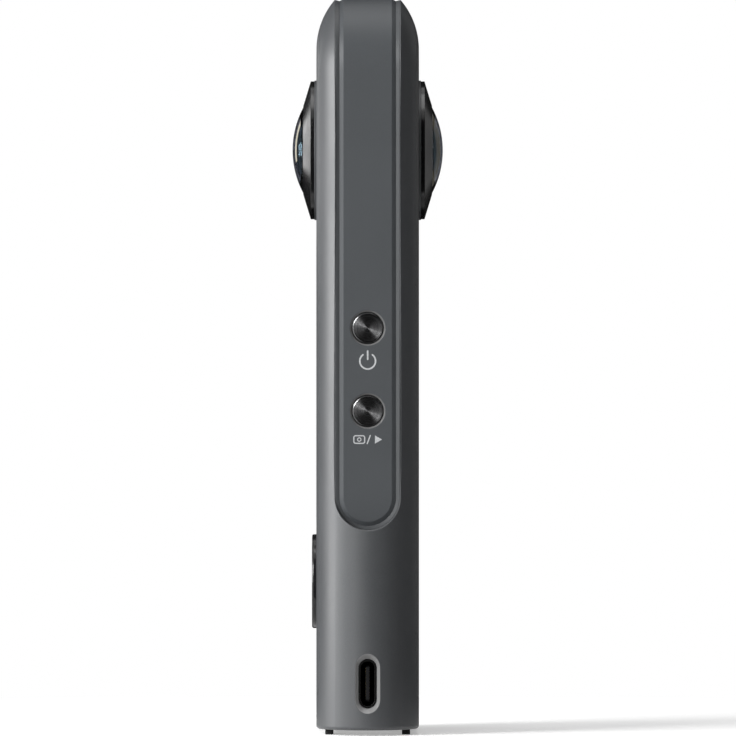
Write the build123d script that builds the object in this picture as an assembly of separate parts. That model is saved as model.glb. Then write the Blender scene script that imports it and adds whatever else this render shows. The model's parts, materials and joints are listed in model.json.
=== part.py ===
from build123d import *
import os
from math import atan2, degrees, sqrt

# A slim upright camera with a wide lens on each broad face. Millimetres, +Z up.
# The origin is on the floor, under the middle of the camera. X runs across the width and Y through
# the two lenses. The display and the shutter button face -Y, the side keys and the USB socket
# are on +X, and the battery door is on -X.

quarter_turn = 90
half_turn = 180

# Whole camera
total_height = 136.2
body_width = 51.7
body_depth = 19.0
span_over_lenses = 28.0
foot_height = 1.0
cut_overrun = 3.0

# Body form: flat faces, flanks that curve in, round narrow sides
flank_radius = 14.0
tip_setback = 1.5
corner_radius = 16.0
base_edge_radius = 0.6

# Recess over the sides and the top, and the bevelled band that lies in it
recess_width = 11.9
recess_end_z = 37.9
rim_chamfer = 0.22
rim_test_shares = (0.0, 0.5, 1.0)
band_groove = 0.13
band_thickness = 1.5
bevel_width = 1.35
bevel_drop = 0.75

# Cavity and floor of the body frame
cavity_inset = 5.6
cavity_wall = 2.8
floor_top_z = 4.9
floor_opening_y = 10.4
floor_opening_margin = 5.5
seat_gap = 0.05

# Front and rear covers
cover_inset = 8.05
cover_thickness = 1.6
cover_base_z = 7.0
cover_corner_radius = 3.0
cover_seam = 0.12
cover_ledge = 1.5

# Base plate, its screws, and the feet
plate_side_margin = 5.85
plate_width = 11.8
plate_thickness = 1.2
plate_corner_radius = 3.0
base_screw_y = 3.6
base_screw_head_radius = 1.4
base_screw_head_height = 0.8
base_screw_radius = 0.75
base_screw_end_gap = 0.5
foot_width = 1.5
foot_length = 8.0
foot_side_margin = 12.85
foot_y = 7.1
foot_pocket = 0.4

# Tripod socket
socket_bore_radius = 2.55
socket_bore_depth = 5.4
socket_radius = 4.2
socket_height = 6.0
socket_flange_radius = 5.1
socket_flange_height = 1.0
socket_mouth_chamfer = 0.4

# Lens assemblies, with heights measured out from the broad face
lens_below_top = 27.9
ring_radius = 13.0
ring_height = 0.4
ring_let_in = 0.5
bezel_step = 0.15
bezel_neck_step = 2.2
bezel_lip_width = 0.25
bezel_wall_share = 11 / 45
bezel_front_share = 5 / 9
dome_radius = 8.0
dome_edge_share = 0.34
dome_wall = 1.2
dome_hollow_radius = 5.6
barrel_seat_width = 0.9
barrel_wall = 0.7
barrel_step_width = 2.2
barrel_narrow_length = 2.9
barrel_front_gap = 0.1
wide_element_thickness = 1.2
narrow_element_thickness = 1.4
element_hollow = 0.45
lens_gap = 0.05

# Optical block with two prisms, two small lens groups and two image sensors
block_length = 17.0
block_face_wall = 0.45
block_height = 9.2
prism_leg = 5.0
prism_shift = 0.1
relay_radius = 2.35
relay_thickness = 1.4
relay_first_x = 3.4
relay_second_x = 6.2
sensor_thickness = 0.9
sensor_depth = 5.6
sensor_height = 7.4
sensor_board_thickness = 0.8
sensor_board_depth = 5.8
sensor_board_height = 12.0

# Display, between the lens and the shutter button
display_lens_gap = 2.7
display_shutter_gap = 1.85
glass_side_margin = 2.8
glass_thickness = 0.8
glass_corner_radius = 2.5
glass_gap = 0.08
adhesive_thickness = 0.15
panel_side_border = 0.7
panel_end_border = 1.3
panel_thickness = 1.7
panel_gap = 0.15

# Shutter button
shutter_z = 28.0
shutter_ring_width = 2.15
shutter_ring_height = 0.85
shutter_ring_round = 0.35
shutter_ring_seat = 0.6
shutter_radius = 6.5
shutter_gap = 0.1
shutter_height = 0.7
shutter_dish = 0.25
shutter_edge_round = 0.3
shutter_flange_width = 0.9
shutter_flange_thickness = 0.6
shutter_hole_gap = 0.2
shutter_flange_gap = 0.15
shutter_stem_radius = 1.5
shutter_travel = 0.4
shutter_seal_thickness = 0.2
shutter_board_margin = 0.05
shutter_board_thickness = 0.6
shutter_collar_height = 1.2
shutter_collar_wall = 1.0
shutter_switch_radius = 2.5
shutter_switch_height = 0.5
switch_gap = 0.05

# Small things in the covers
light_radius = 0.75
light_flange_radius = 1.2
light_flange_height = 0.6
pin_gap = 0.03
microphone_hole_radius = 0.4
microphone_width = 2.65
microphone_height = 3.5
microphone_thickness = 1.1
speaker_z = 26.0
speaker_width = 15.0
speaker_height = 10.0
speaker_thickness = 3.0
speaker_hole_radius = 0.5
speaker_hole_pitch = 2.0
speaker_hole_count = 5

# Side keys
power_key_z = 75.1
mode_key_z = 59.8
key_radius = 2.85
key_gap = 0.12
key_mouth_chamfer = 0.3
key_face_depth = 0.1
key_edge_round = 0.25
key_flange_width = 0.65
key_flange_thickness = 0.6
key_flange_gap = 0.15
key_stem_radius = 1.0
key_travel = 0.35
key_seal_thickness = 0.5
key_seal_width = 9.0
key_seal_height = 24.0
key_seal_hole_radius = 1.25
key_board_thickness = 0.8
key_board_width = 9.0
key_board_height = 26.0
key_switch_size = 4.5
key_switch_height = 0.7
key_plunger_radius = 0.9
key_plunger_height = 0.25
key_plunger_clearance = 0.1

# USB-C socket
usb_floor_gap = 0.23
usb_opening_length = 8.34
usb_opening_width = 2.56
usb_shell_wall = 0.3
usb_shell_depth = 7.35
usb_mouth_depth = 0.9
usb_slot_gap = 0.1
usb_tongue_end_gap = 0.825
usb_tongue_thickness = 0.7
usb_tongue_setback = 0.7
usb_board_length = 10.0
usb_board_overhang = 1.26
usb_board_thickness = 0.8
usb_post_edge = 1.3
usb_post_top_edge = 2.15

# Chassis plate and the posts on it
chassis_thickness = 1.0
chassis_margin = 0.3
post_flange_gap = 2.25
post_edge = 2.5
upper_post_drop = 6.5
lower_post_rise = 3.5
chassis_window_gap = 0.5
chassis_flange_thickness = 0.8
chassis_flange_height = 40.0
post_radius = 1.6
usb_post_radius = 1.2

# Battery, its tray and contacts
battery_round = 0.9
tray_chassis_gap = 1.15
tray_post_gap = 1.1
tray_reader_gap = 0.8
battery_gap = 0.1
tray_wall = 0.6
contact_block_length = 1.9
contact_block_width = 5.0
contact_block_height = 10.0

# Battery door, hinged at its lower edge, with a small lock slider
door_edge = 0.47
door_thickness = 1.2
door_over_reader = 5.65
hinge_above_end = 9.3
door_gap = 0.15
door_corner_radius = 0.8
hinge_offset = 0.9
hinge_pin_radius = 0.4
hinge_pin_length = 10.0
hinge_lower_gap = 0.3
door_pad_margin = 0.8
door_pad_end_margin = 2.0
door_pad_thickness = 1.2
slider_side_margin = 1.65
slider_length = 8.0
slider_plate_thickness = 0.5
slider_plate_depth = 0.08
slider_gap = 0.12
slider_travel = 1.6
slider_top_margin = 2.6
slider_neck_width = 1.6
slider_neck_length = 3.0
slider_hook_setback = 0.35
slider_hook_overlap = 0.8
slider_hook_thickness = 0.45
slider_rib_count = 4
slider_rib_pitch = 1.2
slider_rib_width = 0.45
slider_rib_depth = 0.2
catch_gap = 0.15

# Main board and what is on it
board_thickness = 0.8
board_corner_radius = 1.5
board_flange_gap = 0.15
board_over_speaker = 5.5
board_over_reader = 0.3
board_gap = 0.1
shield_side_margin = 2.0
shield_post_gap = 8.0
shield_depth = 1.3
shield_wall = 0.2
chip_thickness = 0.9
spreader_gap = 0.1
board_screw_radius = 0.6
board_screw_length = 3.5
board_screw_head_radius = 1.3
board_screw_head_height = 0.8
board_screw_gap = 0.06

# Memory card and its reader
card_length = 15.0
card_height = 11.0
card_thickness = 0.8
card_gap = 0.1
reader_below_lens = 16.1
reader_wall = 0.4
reader_end_wall = 0.8
card_corner_cut = 1.2

# Antenna
antenna_end_margin = 0.85
antenna_width = 8.0
antenna_thickness = 0.4

# Chips under the shield, from the middle of the shield, as shares of its width and height:
# place across, place up, width and height
chip_shares = (
    (0.0, 0.2, 0.4, 0.33),
    (0.0, -0.2, 0.3, 0.3),
    (-0.34, 0.2, 0.14, 0.12),
    (-0.34, -0.2, 0.14, 0.12),
    (0.34, 0.2, 0.14, 0.12),
    (0.34, -0.2, 0.14, 0.12),
)

# Places and sizes that follow: body form
half_width = body_width / 2
half_depth = body_depth / 2
tip_radius = half_depth - tip_setback
flank_centre_y = half_depth - flank_radius
tip_centre_x = half_width - tip_radius
flank_centre_x = tip_centre_x - sqrt((flank_radius - tip_radius) ** 2 - flank_centre_y ** 2)
flank_angle = degrees(atan2(-flank_centre_y, tip_centre_x - flank_centre_x))
recess_half = recess_width / 2
band_inset = tip_radius - sqrt(tip_radius ** 2 - recess_half ** 2)
recess_floor_inset = band_inset + band_thickness
apex_z = total_height + band_inset
corner_x = half_width - corner_radius
corner_z = apex_z - corner_radius
corner_axis = Axis((corner_x, 0, corner_z), (0, -1, 0))
recess_round_z = recess_end_z + recess_half
band_face_x = half_width - band_inset
band_back_x = band_face_x - band_thickness
cavity_side_x = half_width - cavity_inset
cavity_top_z = apex_z - cavity_inset
cavity_half_depth = half_depth - cavity_wall
cover_back_y = half_depth - cover_thickness
plate_length = body_width - 2 * plate_side_margin
floor_opening_x = plate_length - 2 * floor_opening_margin
base_screw_x = (plate_length + floor_opening_x) / 4
base_screw_length = floor_top_z - foot_height - base_screw_end_gap
foot_x = half_width - foot_side_margin

# Places and sizes that follow: optics
lens_z = total_height - lens_below_top
bezel_radius = ring_radius - bezel_step
bezel_neck_radius = ring_radius - bezel_neck_step
bezel_lip_radius = dome_radius + bezel_lip_width
barrel_radius = dome_radius - barrel_seat_width
barrel_wide_bore = barrel_radius - barrel_wall
barrel_narrow_bore = barrel_wide_bore - barrel_step_width
dome_tip_height = span_over_lenses / 2 - half_depth
bezel_front_height = bezel_front_share * dome_tip_height
bezel_wall_height = bezel_wall_share * dome_tip_height
dome_edge_thickness = dome_edge_share * bezel_front_height
dome_seat_height = bezel_front_height - dome_edge_thickness
barrel_front_height = dome_seat_height - barrel_front_gap
block_face_y = prism_leg + prism_shift + block_face_wall
barrel_back_height = block_face_y + seat_gap - half_depth
barrel_step_height = barrel_back_height + barrel_narrow_length

# Places and sizes that follow: shutter button and display
shutter_ring_radius = shutter_radius + shutter_gap + shutter_ring_width
shutter_flange_radius = shutter_radius + shutter_flange_width
shutter_hole_radius = shutter_flange_radius + shutter_hole_gap
shutter_board_radius = shutter_ring_radius + shutter_board_margin
shutter_switch_top = shutter_switch_height - cover_thickness - shutter_collar_height
shutter_stem_tip = shutter_switch_top + switch_gap + shutter_travel
cover_half_width = half_width - cover_inset
light_x = (shutter_ring_radius + cover_half_width - cover_ledge) / 2
glass_top_z = lens_z - ring_radius - display_lens_gap
glass_base_z = shutter_z + shutter_ring_radius + display_shutter_gap
glass_height = glass_top_z - glass_base_z
glass_width = 2 * (cover_half_width - glass_side_margin)
display_z = (glass_top_z + glass_base_z) / 2
panel_width = glass_width - 2 * panel_side_border
panel_height = glass_height - 2 * panel_end_border

# Places and sizes that follow: side keys and USB socket
key_flange_radius = key_radius + key_flange_width
key_board_face_x = (cavity_side_x - key_seal_thickness - key_plunger_clearance
                    - key_plunger_height - key_switch_height + switch_gap)
key_board_back_x = key_board_face_x - key_board_thickness
key_switch_top_x = key_board_face_x + key_switch_height + key_plunger_height
key_board_z = (power_key_z + mode_key_z) / 2
usb_shell_length = usb_opening_length + 2 * usb_shell_wall
usb_shell_width = usb_opening_width + 2 * usb_shell_wall
usb_z = floor_top_z + usb_floor_gap + usb_shell_length / 2
usb_tongue_length = usb_opening_length - 2 * usb_tongue_end_gap
usb_mouth_x = half_width - usb_mouth_depth
usb_back_x = usb_mouth_x - usb_shell_depth
usb_board_height = usb_shell_length + usb_board_overhang
usb_board_right_x = cavity_side_x - seat_gap
usb_post_x = usb_board_right_x - usb_board_length + usb_post_edge
usb_post_z = floor_top_z + seat_gap + usb_board_height - usb_post_top_edge

# Places and sizes that follow: chassis, card reader, battery and door
chassis_base_z = floor_top_z + chassis_margin
chassis_front_y = seat_gap - cavity_half_depth
chassis_back_y = chassis_front_y + chassis_thickness
chassis_flange_x = key_board_back_x - chassis_flange_thickness
right_post_x = chassis_flange_x - post_flange_gap - post_radius
reader_length = card_length + reader_end_wall
reader_height = card_height + 2 * (card_gap + reader_wall)
reader_depth = card_thickness + 2 * (card_gap + reader_wall)
reader_z = lens_z - reader_below_lens
hinge_x = band_face_x - hinge_offset
hinge_z = recess_end_z + hinge_above_end
door_width = recess_width - 2 * (band_groove + bevel_width + door_edge)
door_inner_x = band_face_x - door_thickness
door_top_z = reader_z + door_over_reader
door_opening_half = door_width / 2 + door_gap
door_opening_base_z = hinge_z - hinge_offset - hinge_lower_gap
door_opening_top_z = door_top_z + door_gap
tray_half_depth = -chassis_back_y - tray_chassis_gap
battery_thickness = 2 * (tray_half_depth - tray_wall - battery_gap)
battery_end_x = cavity_side_x - battery_gap
tray_right_x = right_post_x - post_radius - tray_post_gap
battery_length = battery_end_x + tray_right_x - tray_wall - battery_gap
battery_base_z = door_opening_base_z + tray_wall + battery_gap
tray_top_z = reader_z - reader_height / 2 - tray_reader_gap
battery_height = tray_top_z - tray_wall - battery_gap - battery_base_z
door_pad_width = door_width - 2 * door_pad_margin
door_pad_height = battery_height - 2 * door_pad_end_margin
slider_width = door_width - 2 * slider_side_margin
slider_hook_width = slider_width - 2 * slider_hook_setback
slider_top_z = door_top_z - slider_top_margin
slider_base_z = slider_top_z - slider_length
hook_top_z = door_top_z - slider_gap
hook_outer_x = door_inner_x - seat_gap

# Places and sizes that follow: main board
board_front_y = tray_half_depth + board_gap
board_back_y = board_front_y + board_thickness
board_width = 2 * (chassis_flange_x - board_flange_gap)
board_base_z = speaker_z + speaker_height / 2 + board_over_speaker
board_top_z = reader_z + reader_height / 2 + board_over_reader
left_post_x = post_edge - board_width / 2
upper_post_z = board_top_z - upper_post_drop
lower_post_z = board_base_z + lower_post_rise
shield_width = board_width - 2 * shield_side_margin
shield_height = upper_post_z - lower_post_z - 2 * shield_post_gap
shield_z = (upper_post_z + lower_post_z) / 2
spreader_thickness = cover_back_y - spreader_gap - board_back_y - shield_depth
antenna_length = 2 * (corner_x - antenna_end_margin)


def block(x_range, y_range, z_range):
    """A box given by where it starts and ends along each axis."""
    size = [high - low for low, high in (x_range, y_range, z_range)]
    middle = [(high + low) / 2 for low, high in (x_range, y_range, z_range)]
    return Pos(*middle) * Box(*size)


def slab(outline, y_from, y_to):
    """A plate whose outline is drawn in the front view, X and Z, between two depths."""
    plane = Plane((0, y_to, 0), x_dir=(1, 0, 0), z_dir=(0, -1, 0))
    return extrude(plane * outline, amount=y_to - y_from)


def side_slab(outline, x_from, x_to):
    """A plate whose outline is drawn in the side view, Y and Z, between two distances."""
    plane = Plane((x_from, 0, 0), x_dir=(0, 1, 0), z_dir=(1, 0, 0))
    return extrude(plane * outline, amount=x_to - x_from)


def rod_along_y(radius, y_from, y_to, x, z):
    return slab(Pos(x, z) * Circle(radius), y_from, y_to)


def rod_along_x(radius, x_from, x_to, y, z):
    return side_slab(Pos(y, z) * Circle(radius), x_from, x_to)


def turned(edges):
    """A round piece from its half section, radius along X and height along Y."""
    return revolve(make_face(edges), Axis.Y)


def turned_points(points):
    return turned(Polyline(*points, close=True).edges())


def disc(inner_radius, outer_radius, low, high):
    """A flat ring about Y between two heights; an inner radius of zero makes it solid."""
    return turned_points([(inner_radius, low), (outer_radius, low), (outer_radius, high), (inner_radius, high)])


def on_rear(piece, z, x=0):
    """Puts a piece made about Y on the rear face, its heights measured from that face."""
    return Pos(x, half_depth, z) * piece


def on_front(piece, z, x=0):
    return mirror(on_rear(piece, z, x), about=Plane.XZ)


def both_sides(piece):
    """A piece and its mirror image across the width."""
    return piece + mirror(piece, about=Plane.YZ)


def side_profile(start_x, inset):
    """Half of the body's level section, from start_x out to the round narrow side."""
    flat_y = half_depth - inset
    flank = flank_radius - inset
    flank_sweep = quarter_turn - flank_angle
    edges = [
        Line((start_x, flat_y), (flank_centre_x, flat_y)),
        CenterArc((flank_centre_x, flank_centre_y), flank, flank_angle, flank_sweep),
        CenterArc((tip_centre_x, 0), tip_radius - inset, -flank_angle, 2 * flank_angle),
        CenterArc((flank_centre_x, -flank_centre_y), flank, -quarter_turn, flank_sweep),
        Line((flank_centre_x, -flat_y), (start_x, -flat_y)),
        Line((start_x, -flat_y), (start_x, flat_y)),
    ]
    return make_face(edges)


def carried_round(profile):
    """Sweeps a level section at the corner's height round the corner and to the middle of the top."""
    corner = revolve(profile, corner_axis, quarter_turn)
    upright = profile.rotate(corner_axis, quarter_turn)
    top = extrude(upright, amount=corner_x, dir=(-1, 0, 0))
    return corner + top


def body_form():
    """The outer form: the side section carried up one side, over the top and down the other."""
    section = Pos(0, 0, foot_height) * side_profile(0, 0)
    lower = extrude(section, amount=corner_z - foot_height)
    upper = carried_round(Pos(0, 0, corner_z) * side_profile(corner_x, 0))
    form = both_sides(lower + upper)
    base_edges = form.edges().filter_by_position(Axis.Z, foot_height, foot_height)
    return fillet(base_edges, base_edge_radius)


def hoop(half_points):
    """A strip over both sides and the top, with round lower ends.

    Its section is given for one half as inset from the body's outline and distance from the middle.
    """
    upper = [(half_width - inset, y) for inset, y in half_points]
    lower = [(x, -y) for x, y in reversed(upper) if y > 0]
    section = make_face(Polyline(*upper, *lower, close=True).edges())
    half_section = make_face(Polyline(*upper, close=True).edges())
    leg = extrude(Pos(0, 0, recess_round_z) * section, amount=corner_z - recess_round_z)
    end_axis = Axis((0, 0, recess_round_z), (-1, 0, 0))
    end = revolve(Pos(0, 0, recess_round_z) * half_section, end_axis, half_turn)
    return both_sides(leg + end + carried_round(Pos(0, 0, corner_z) * section))


def front_outline(inset, base_z):
    """The body's front view set in by a distance: straight sides, rounded upper corners."""
    side_x = half_width - inset
    top_z = apex_z - inset
    radius = corner_radius - inset
    edges = [
        Line((-side_x, base_z), (side_x, base_z)),
        Line((side_x, base_z), (side_x, corner_z)),
        CenterArc((corner_x, corner_z), radius, 0, quarter_turn),
        Line((corner_x, top_z), (-corner_x, top_z)),
        CenterArc((-corner_x, corner_z), radius, quarter_turn, quarter_turn),
        Line((-side_x, corner_z), (-side_x, base_z)),
    ]
    return make_face(edges)


def cover_outline(growth):
    """The outline of a cover, grown by a gap for its pocket or shrunk for the ledge."""
    face = front_outline(cover_inset - growth, cover_base_z - growth)
    return fillet(face.vertices().group_by(Axis.Y)[0], cover_corner_radius + growth)


def plate_outline(growth):
    return RectangleRounded(plate_length + 2 * growth, plate_width + 2 * growth, plate_corner_radius + growth)


def usb_outline(growth):
    """The round-ended outline of the USB socket's shell, standing upright in the side view."""
    length = usb_shell_length + 2 * growth
    return Pos(0, usb_z) * SlotOverall(length, usb_shell_width + 2 * growth, rotation=quarter_turn)


def usb_slot():
    """The cut for the USB socket, with a flared mouth in the round side."""
    straight = side_slab(usb_outline(usb_slot_gap), cavity_side_x - cut_overrun, usb_mouth_x)
    plane = Plane((usb_mouth_x, 0, 0), x_dir=(0, 1, 0), z_dir=(1, 0, 0))
    flare = extrude(plane * usb_outline(usb_slot_gap), amount=cut_overrun, taper=-quarter_turn / 2)
    return straight + flare


def screw_spots():
    return [(x, y) for x in (-base_screw_x, base_screw_x) for y in (-base_screw_y, base_screw_y)]


def foot_spots():
    return [(x, y) for x in (-foot_x, foot_x) for y in (-foot_y, foot_y)]


def door_opening():
    """The opening for the battery door, through the band and the frame's wall behind it."""
    outline = Rectangle(2 * door_opening_half, door_opening_top_z - door_opening_base_z)
    outline = Pos(0, (door_opening_top_z + door_opening_base_z) / 2) * outline
    upper = outline.vertices().group_by(Axis.Y)[-1]
    outline = fillet(upper, door_corner_radius + door_gap)
    return side_slab(outline, -band_face_x - cut_overrun, -cavity_side_x + cut_overrun)


def catch_pocket():
    """The pocket above the battery door that the lock slider's hook moves up into."""
    half = slider_hook_width / 2 + catch_gap
    depth = slider_hook_thickness + 2 * catch_gap
    outer = -hook_outer_x - catch_gap
    top = hook_top_z + slider_travel + catch_gap
    return block((outer, outer + depth), (-half, half), (door_opening_top_z - door_gap, top))


def body_frame():
    recess_profile = [(-cut_overrun, 0), (-cut_overrun, recess_half),
                      (recess_floor_inset, recess_half), (recess_floor_inset, 0)]
    frame = body_form() - hoop(recess_profile)
    rim = [edge for edge in frame.edges() if is_recess_rim(edge)]
    frame = chamfer(rim, rim_chamfer)
    cavity = slab(front_outline(cavity_inset, floor_top_z), -cavity_half_depth, cavity_half_depth)
    frame -= cavity
    ledge = slab(cover_outline(-cover_ledge), -half_depth - cut_overrun, half_depth + cut_overrun)
    pocket = slab(cover_outline(cover_seam), cover_back_y, half_depth + cut_overrun)
    frame -= ledge
    frame -= pocket
    frame -= mirror(pocket, about=Plane.XZ)
    frame -= frame_base_cuts()
    frame -= door_opening()
    frame -= catch_pocket()
    frame -= usb_slot()
    for key_z in (power_key_z, mode_key_z):
        flange_hole = key_flange_radius + key_gap
        frame -= rod_along_x(flange_hole, cavity_side_x - cut_overrun, band_face_x, 0, key_z)
    return frame


def is_recess_rim(edge):
    """True for the edges where the recess's walls meet the body's outer surface."""
    on_wall = []
    above_floor = []
    for share in rim_test_shares:
        point = edge.position_at(share)
        across = abs(point.Y)
        if point.Z < recess_round_z:
            across = sqrt(point.Y ** 2 + (point.Z - recess_round_z) ** 2)
        on_wall.append(abs(across - recess_half) < seat_gap / 10)
        corner_reach = sqrt(max(abs(point.X) - corner_x, 0) ** 2 + max(point.Z - corner_z, 0) ** 2)
        above_floor.append(corner_reach > corner_radius - recess_floor_inset + seat_gap)
    return all(on_wall) and all(above_floor)


def frame_base_cuts():
    """Cuts in the frame's floor for the base plate, the tripod socket, screws and feet."""
    plate_top_z = foot_height + plate_thickness
    below_z = foot_height - cut_overrun
    cuts = Pos(0, 0, below_z) * extrude(plate_outline(cover_seam), amount=plate_top_z - below_z)
    half_x = floor_opening_x / 2
    half_y = floor_opening_y / 2
    cuts += block((-half_x, half_x), (-half_y, half_y), (foot_height, floor_top_z + cut_overrun))
    for x, y in screw_spots():
        screw_top = foot_height + base_screw_length
        cuts += Pos(x, y, screw_top / 2) * Cylinder(base_screw_radius, screw_top)
    for x, y in foot_spots():
        cuts += Pos(x, y, foot_height) * Box(foot_length, foot_width, 2 * foot_pocket)
    return cuts


def side_band():
    half = recess_half - band_groove
    back = recess_floor_inset
    profile = [(band_inset, 0), (band_inset, half - bevel_width),
               (band_inset + bevel_drop, half), (back, half), (back, 0)]
    band = hoop(profile)
    band -= door_opening()
    band -= catch_pocket()
    pin_reach = hinge_pin_length / 2
    band -= rod_along_y(hinge_pin_radius, -pin_reach, pin_reach, -hinge_x, hinge_z)
    for key_z in (power_key_z, mode_key_z):
        hole = key_radius + key_gap
        band -= rod_along_x(hole, band_back_x - cut_overrun, band_face_x + cut_overrun, 0, key_z)
        mouth = Cone(hole, hole + key_mouth_chamfer, key_mouth_chamfer)
        turned_mouth = Rot(0, quarter_turn, 0) * mouth
        band -= Pos(band_face_x - key_mouth_chamfer / 2, 0, key_z) * turned_mouth
    return band


def plain_cover():
    """A cover without its openings for the front, cut from the body's own outer form."""
    blank = slab(cover_outline(0), cover_back_y, half_depth + cut_overrun)
    return mirror(blank & body_form(), about=Plane.XZ)


def lens_opening():
    """The opening in a cover for a lens bezel, with the recess of its seat ring."""
    through = disc(0, bezel_neck_radius + lens_gap, -cover_thickness - cut_overrun, cut_overrun)
    return through + disc(0, ring_radius + lens_gap, -ring_let_in, cut_overrun)


def front_cover():
    cover = plain_cover()
    cover -= on_front(lens_opening(), lens_z)
    cover -= display_pocket()
    collar_top = -cover_thickness - shutter_collar_height
    collar_outer = shutter_board_radius + seat_gap
    cover += on_front(disc(collar_outer - shutter_collar_wall, collar_outer, collar_top, -cover_thickness),
                      shutter_z)
    shutter_cut = disc(0, shutter_hole_radius, collar_top, cut_overrun)
    seat_depth = shutter_ring_seat + shutter_seal_thickness
    shutter_cut += disc(0, shutter_ring_radius + lens_gap, -seat_depth, cut_overrun)
    cover -= on_front(shutter_cut, shutter_z)
    cover -= on_front(disc(0, light_radius + pin_gap, -cover_thickness, cut_overrun), shutter_z, light_x)
    microphone_hole = disc(0, microphone_hole_radius, -cover_thickness, cut_overrun)
    cover -= on_front(microphone_hole, shutter_z, -light_x)
    return cover


def display_pocket():
    """The stepped window for the display glass and the panel behind it."""
    glass = RectangleRounded(glass_width + 2 * glass_gap, glass_height + 2 * glass_gap,
                             glass_corner_radius + glass_gap)
    pocket_y = -half_depth + glass_thickness + adhesive_thickness
    cut = slab(Pos(0, display_z) * glass, -half_depth - cut_overrun, pocket_y)
    window = Rectangle(panel_width + 2 * panel_gap, panel_height + 2 * panel_gap)
    return cut + slab(Pos(0, display_z) * window, -half_depth - cut_overrun, -cover_back_y + cut_overrun)


def rear_cover():
    cover = mirror(plain_cover(), about=Plane.XZ)
    cover -= on_rear(lens_opening(), lens_z)
    for number in range(speaker_hole_count):
        x = (number - (speaker_hole_count - 1) / 2) * speaker_hole_pitch
        hole = disc(0, speaker_hole_radius, -cover_thickness, cut_overrun)
        cover -= on_rear(hole, speaker_z, x)
    return cover


def base_plate():
    plate = Pos(0, 0, foot_height) * extrude(plate_outline(0), amount=plate_thickness)
    plate -= Cylinder(socket_radius + pin_gap, 2 * (foot_height + plate_thickness + cut_overrun))
    for x, y in screw_spots():
        plate -= Pos(x, y, 0) * base_screw_form(pin_gap)
    return plate


def base_screw_form(gap):
    """A countersunk screw from below, its head flush with the base plate."""
    shank_radius = base_screw_radius + gap
    head_radius = base_screw_head_radius + gap
    head = Pos(0, 0, foot_height + base_screw_head_height / 2) * Cone(
        head_radius, shank_radius, base_screw_head_height)
    shank = Pos(0, 0, foot_height + base_screw_length / 2) * Cylinder(shank_radius, base_screw_length)
    return head + shank


def base_screws():
    return [Pos(x, y, 0) * cross_recessed(base_screw_form(0)) for x, y in screw_spots()]


def cross_recessed(screw):
    """Cuts a cross recess into the head of a base screw."""
    arm = base_screw_head_radius
    slot = base_screw_radius / 2
    depth = base_screw_head_height
    cross = Box(arm, slot, depth) + Box(slot, arm, depth)
    return screw - Pos(0, 0, foot_height) * cross


def rubber_feet():
    height = foot_height + foot_pocket
    edge = foot_width / 4
    pad = fillet(Box(foot_length, foot_width, height).edges().filter_by(Axis.Z), edge)
    return [Pos(x, y, height / 2) * pad for x, y in foot_spots()]


def tripod_socket():
    socket = Pos(0, 0, foot_height + socket_height / 2) * Cylinder(socket_radius, socket_height)
    flange_z = foot_height + plate_thickness + socket_flange_height / 2
    socket += Pos(0, 0, flange_z) * Cylinder(socket_flange_radius, socket_flange_height)
    socket -= Pos(0, 0, foot_height + socket_bore_depth / 2) * Cylinder(socket_bore_radius, socket_bore_depth)
    mouth_radius = socket_bore_radius + socket_mouth_chamfer
    mouth = Cone(mouth_radius, socket_bore_radius, socket_mouth_chamfer)
    return socket - Pos(0, 0, foot_height + socket_mouth_chamfer / 2) * mouth


def lens_ring():
    return disc(bezel_neck_radius + lens_gap, ring_radius, -ring_let_in, ring_height)


def lens_bezel():
    """The black cone round the glass, with a neck that goes in through the cover."""
    return turned_points([
        (barrel_radius + lens_gap, -cover_thickness),
        (bezel_neck_radius, -cover_thickness),
        (bezel_neck_radius, ring_height),
        (bezel_radius, ring_height),
        (bezel_radius, bezel_wall_height),
        (bezel_lip_radius, bezel_front_height),
        (dome_radius + lens_gap, bezel_front_height),
        (dome_radius + lens_gap, dome_seat_height),
        (barrel_radius + lens_gap, dome_seat_height),
    ])


def lens_dome():
    """The domed front glass, hollowed behind, with a flat seat and a plain edge in the bezel."""
    rise = dome_tip_height - bezel_front_height
    outer = (dome_radius ** 2 + rise ** 2) / (2 * rise)
    centre = dome_tip_height - outer
    outer_angle = degrees(atan2(bezel_front_height - centre, dome_radius))
    hollow_depth = dome_tip_height - dome_wall - dome_seat_height
    hollow = (dome_hollow_radius ** 2 + hollow_depth ** 2) / (2 * hollow_depth)
    hollow_centre = dome_tip_height - dome_wall - hollow
    hollow_angle = degrees(atan2(dome_seat_height - hollow_centre, dome_hollow_radius))
    edges = [
        CenterArc((0, centre), outer, outer_angle, quarter_turn - outer_angle),
        Line((0, dome_tip_height), (0, dome_tip_height - dome_wall)),
        CenterArc((0, hollow_centre), hollow, hollow_angle, quarter_turn - hollow_angle),
        Line((dome_hollow_radius, dome_seat_height), (dome_radius, dome_seat_height)),
        Line((dome_radius, dome_seat_height), (dome_radius, bezel_front_height)),
    ]
    return turned(edges)


def lens_barrel():
    return turned_points([
        (barrel_narrow_bore, barrel_back_height),
        (barrel_radius, barrel_back_height),
        (barrel_radius, barrel_front_height),
        (barrel_wide_bore, barrel_front_height),
        (barrel_wide_bore, barrel_step_height),
        (barrel_narrow_bore, barrel_step_height),
    ])


def hollowed_element(radius, low, thickness):
    """A lens element with both faces hollowed."""
    high = low + thickness
    middle = radius / 2
    edges = [
        Line((0, low + element_hollow), (0, high - element_hollow)),
        Line((radius, low), (radius, high)),
        ThreePointArc((0, high - element_hollow), (middle, high - element_hollow * 3 / 4), (radius, high)),
        ThreePointArc((0, low + element_hollow), (middle, low + element_hollow * 3 / 4), (radius, low)),
    ]
    return turned(edges)


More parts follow.
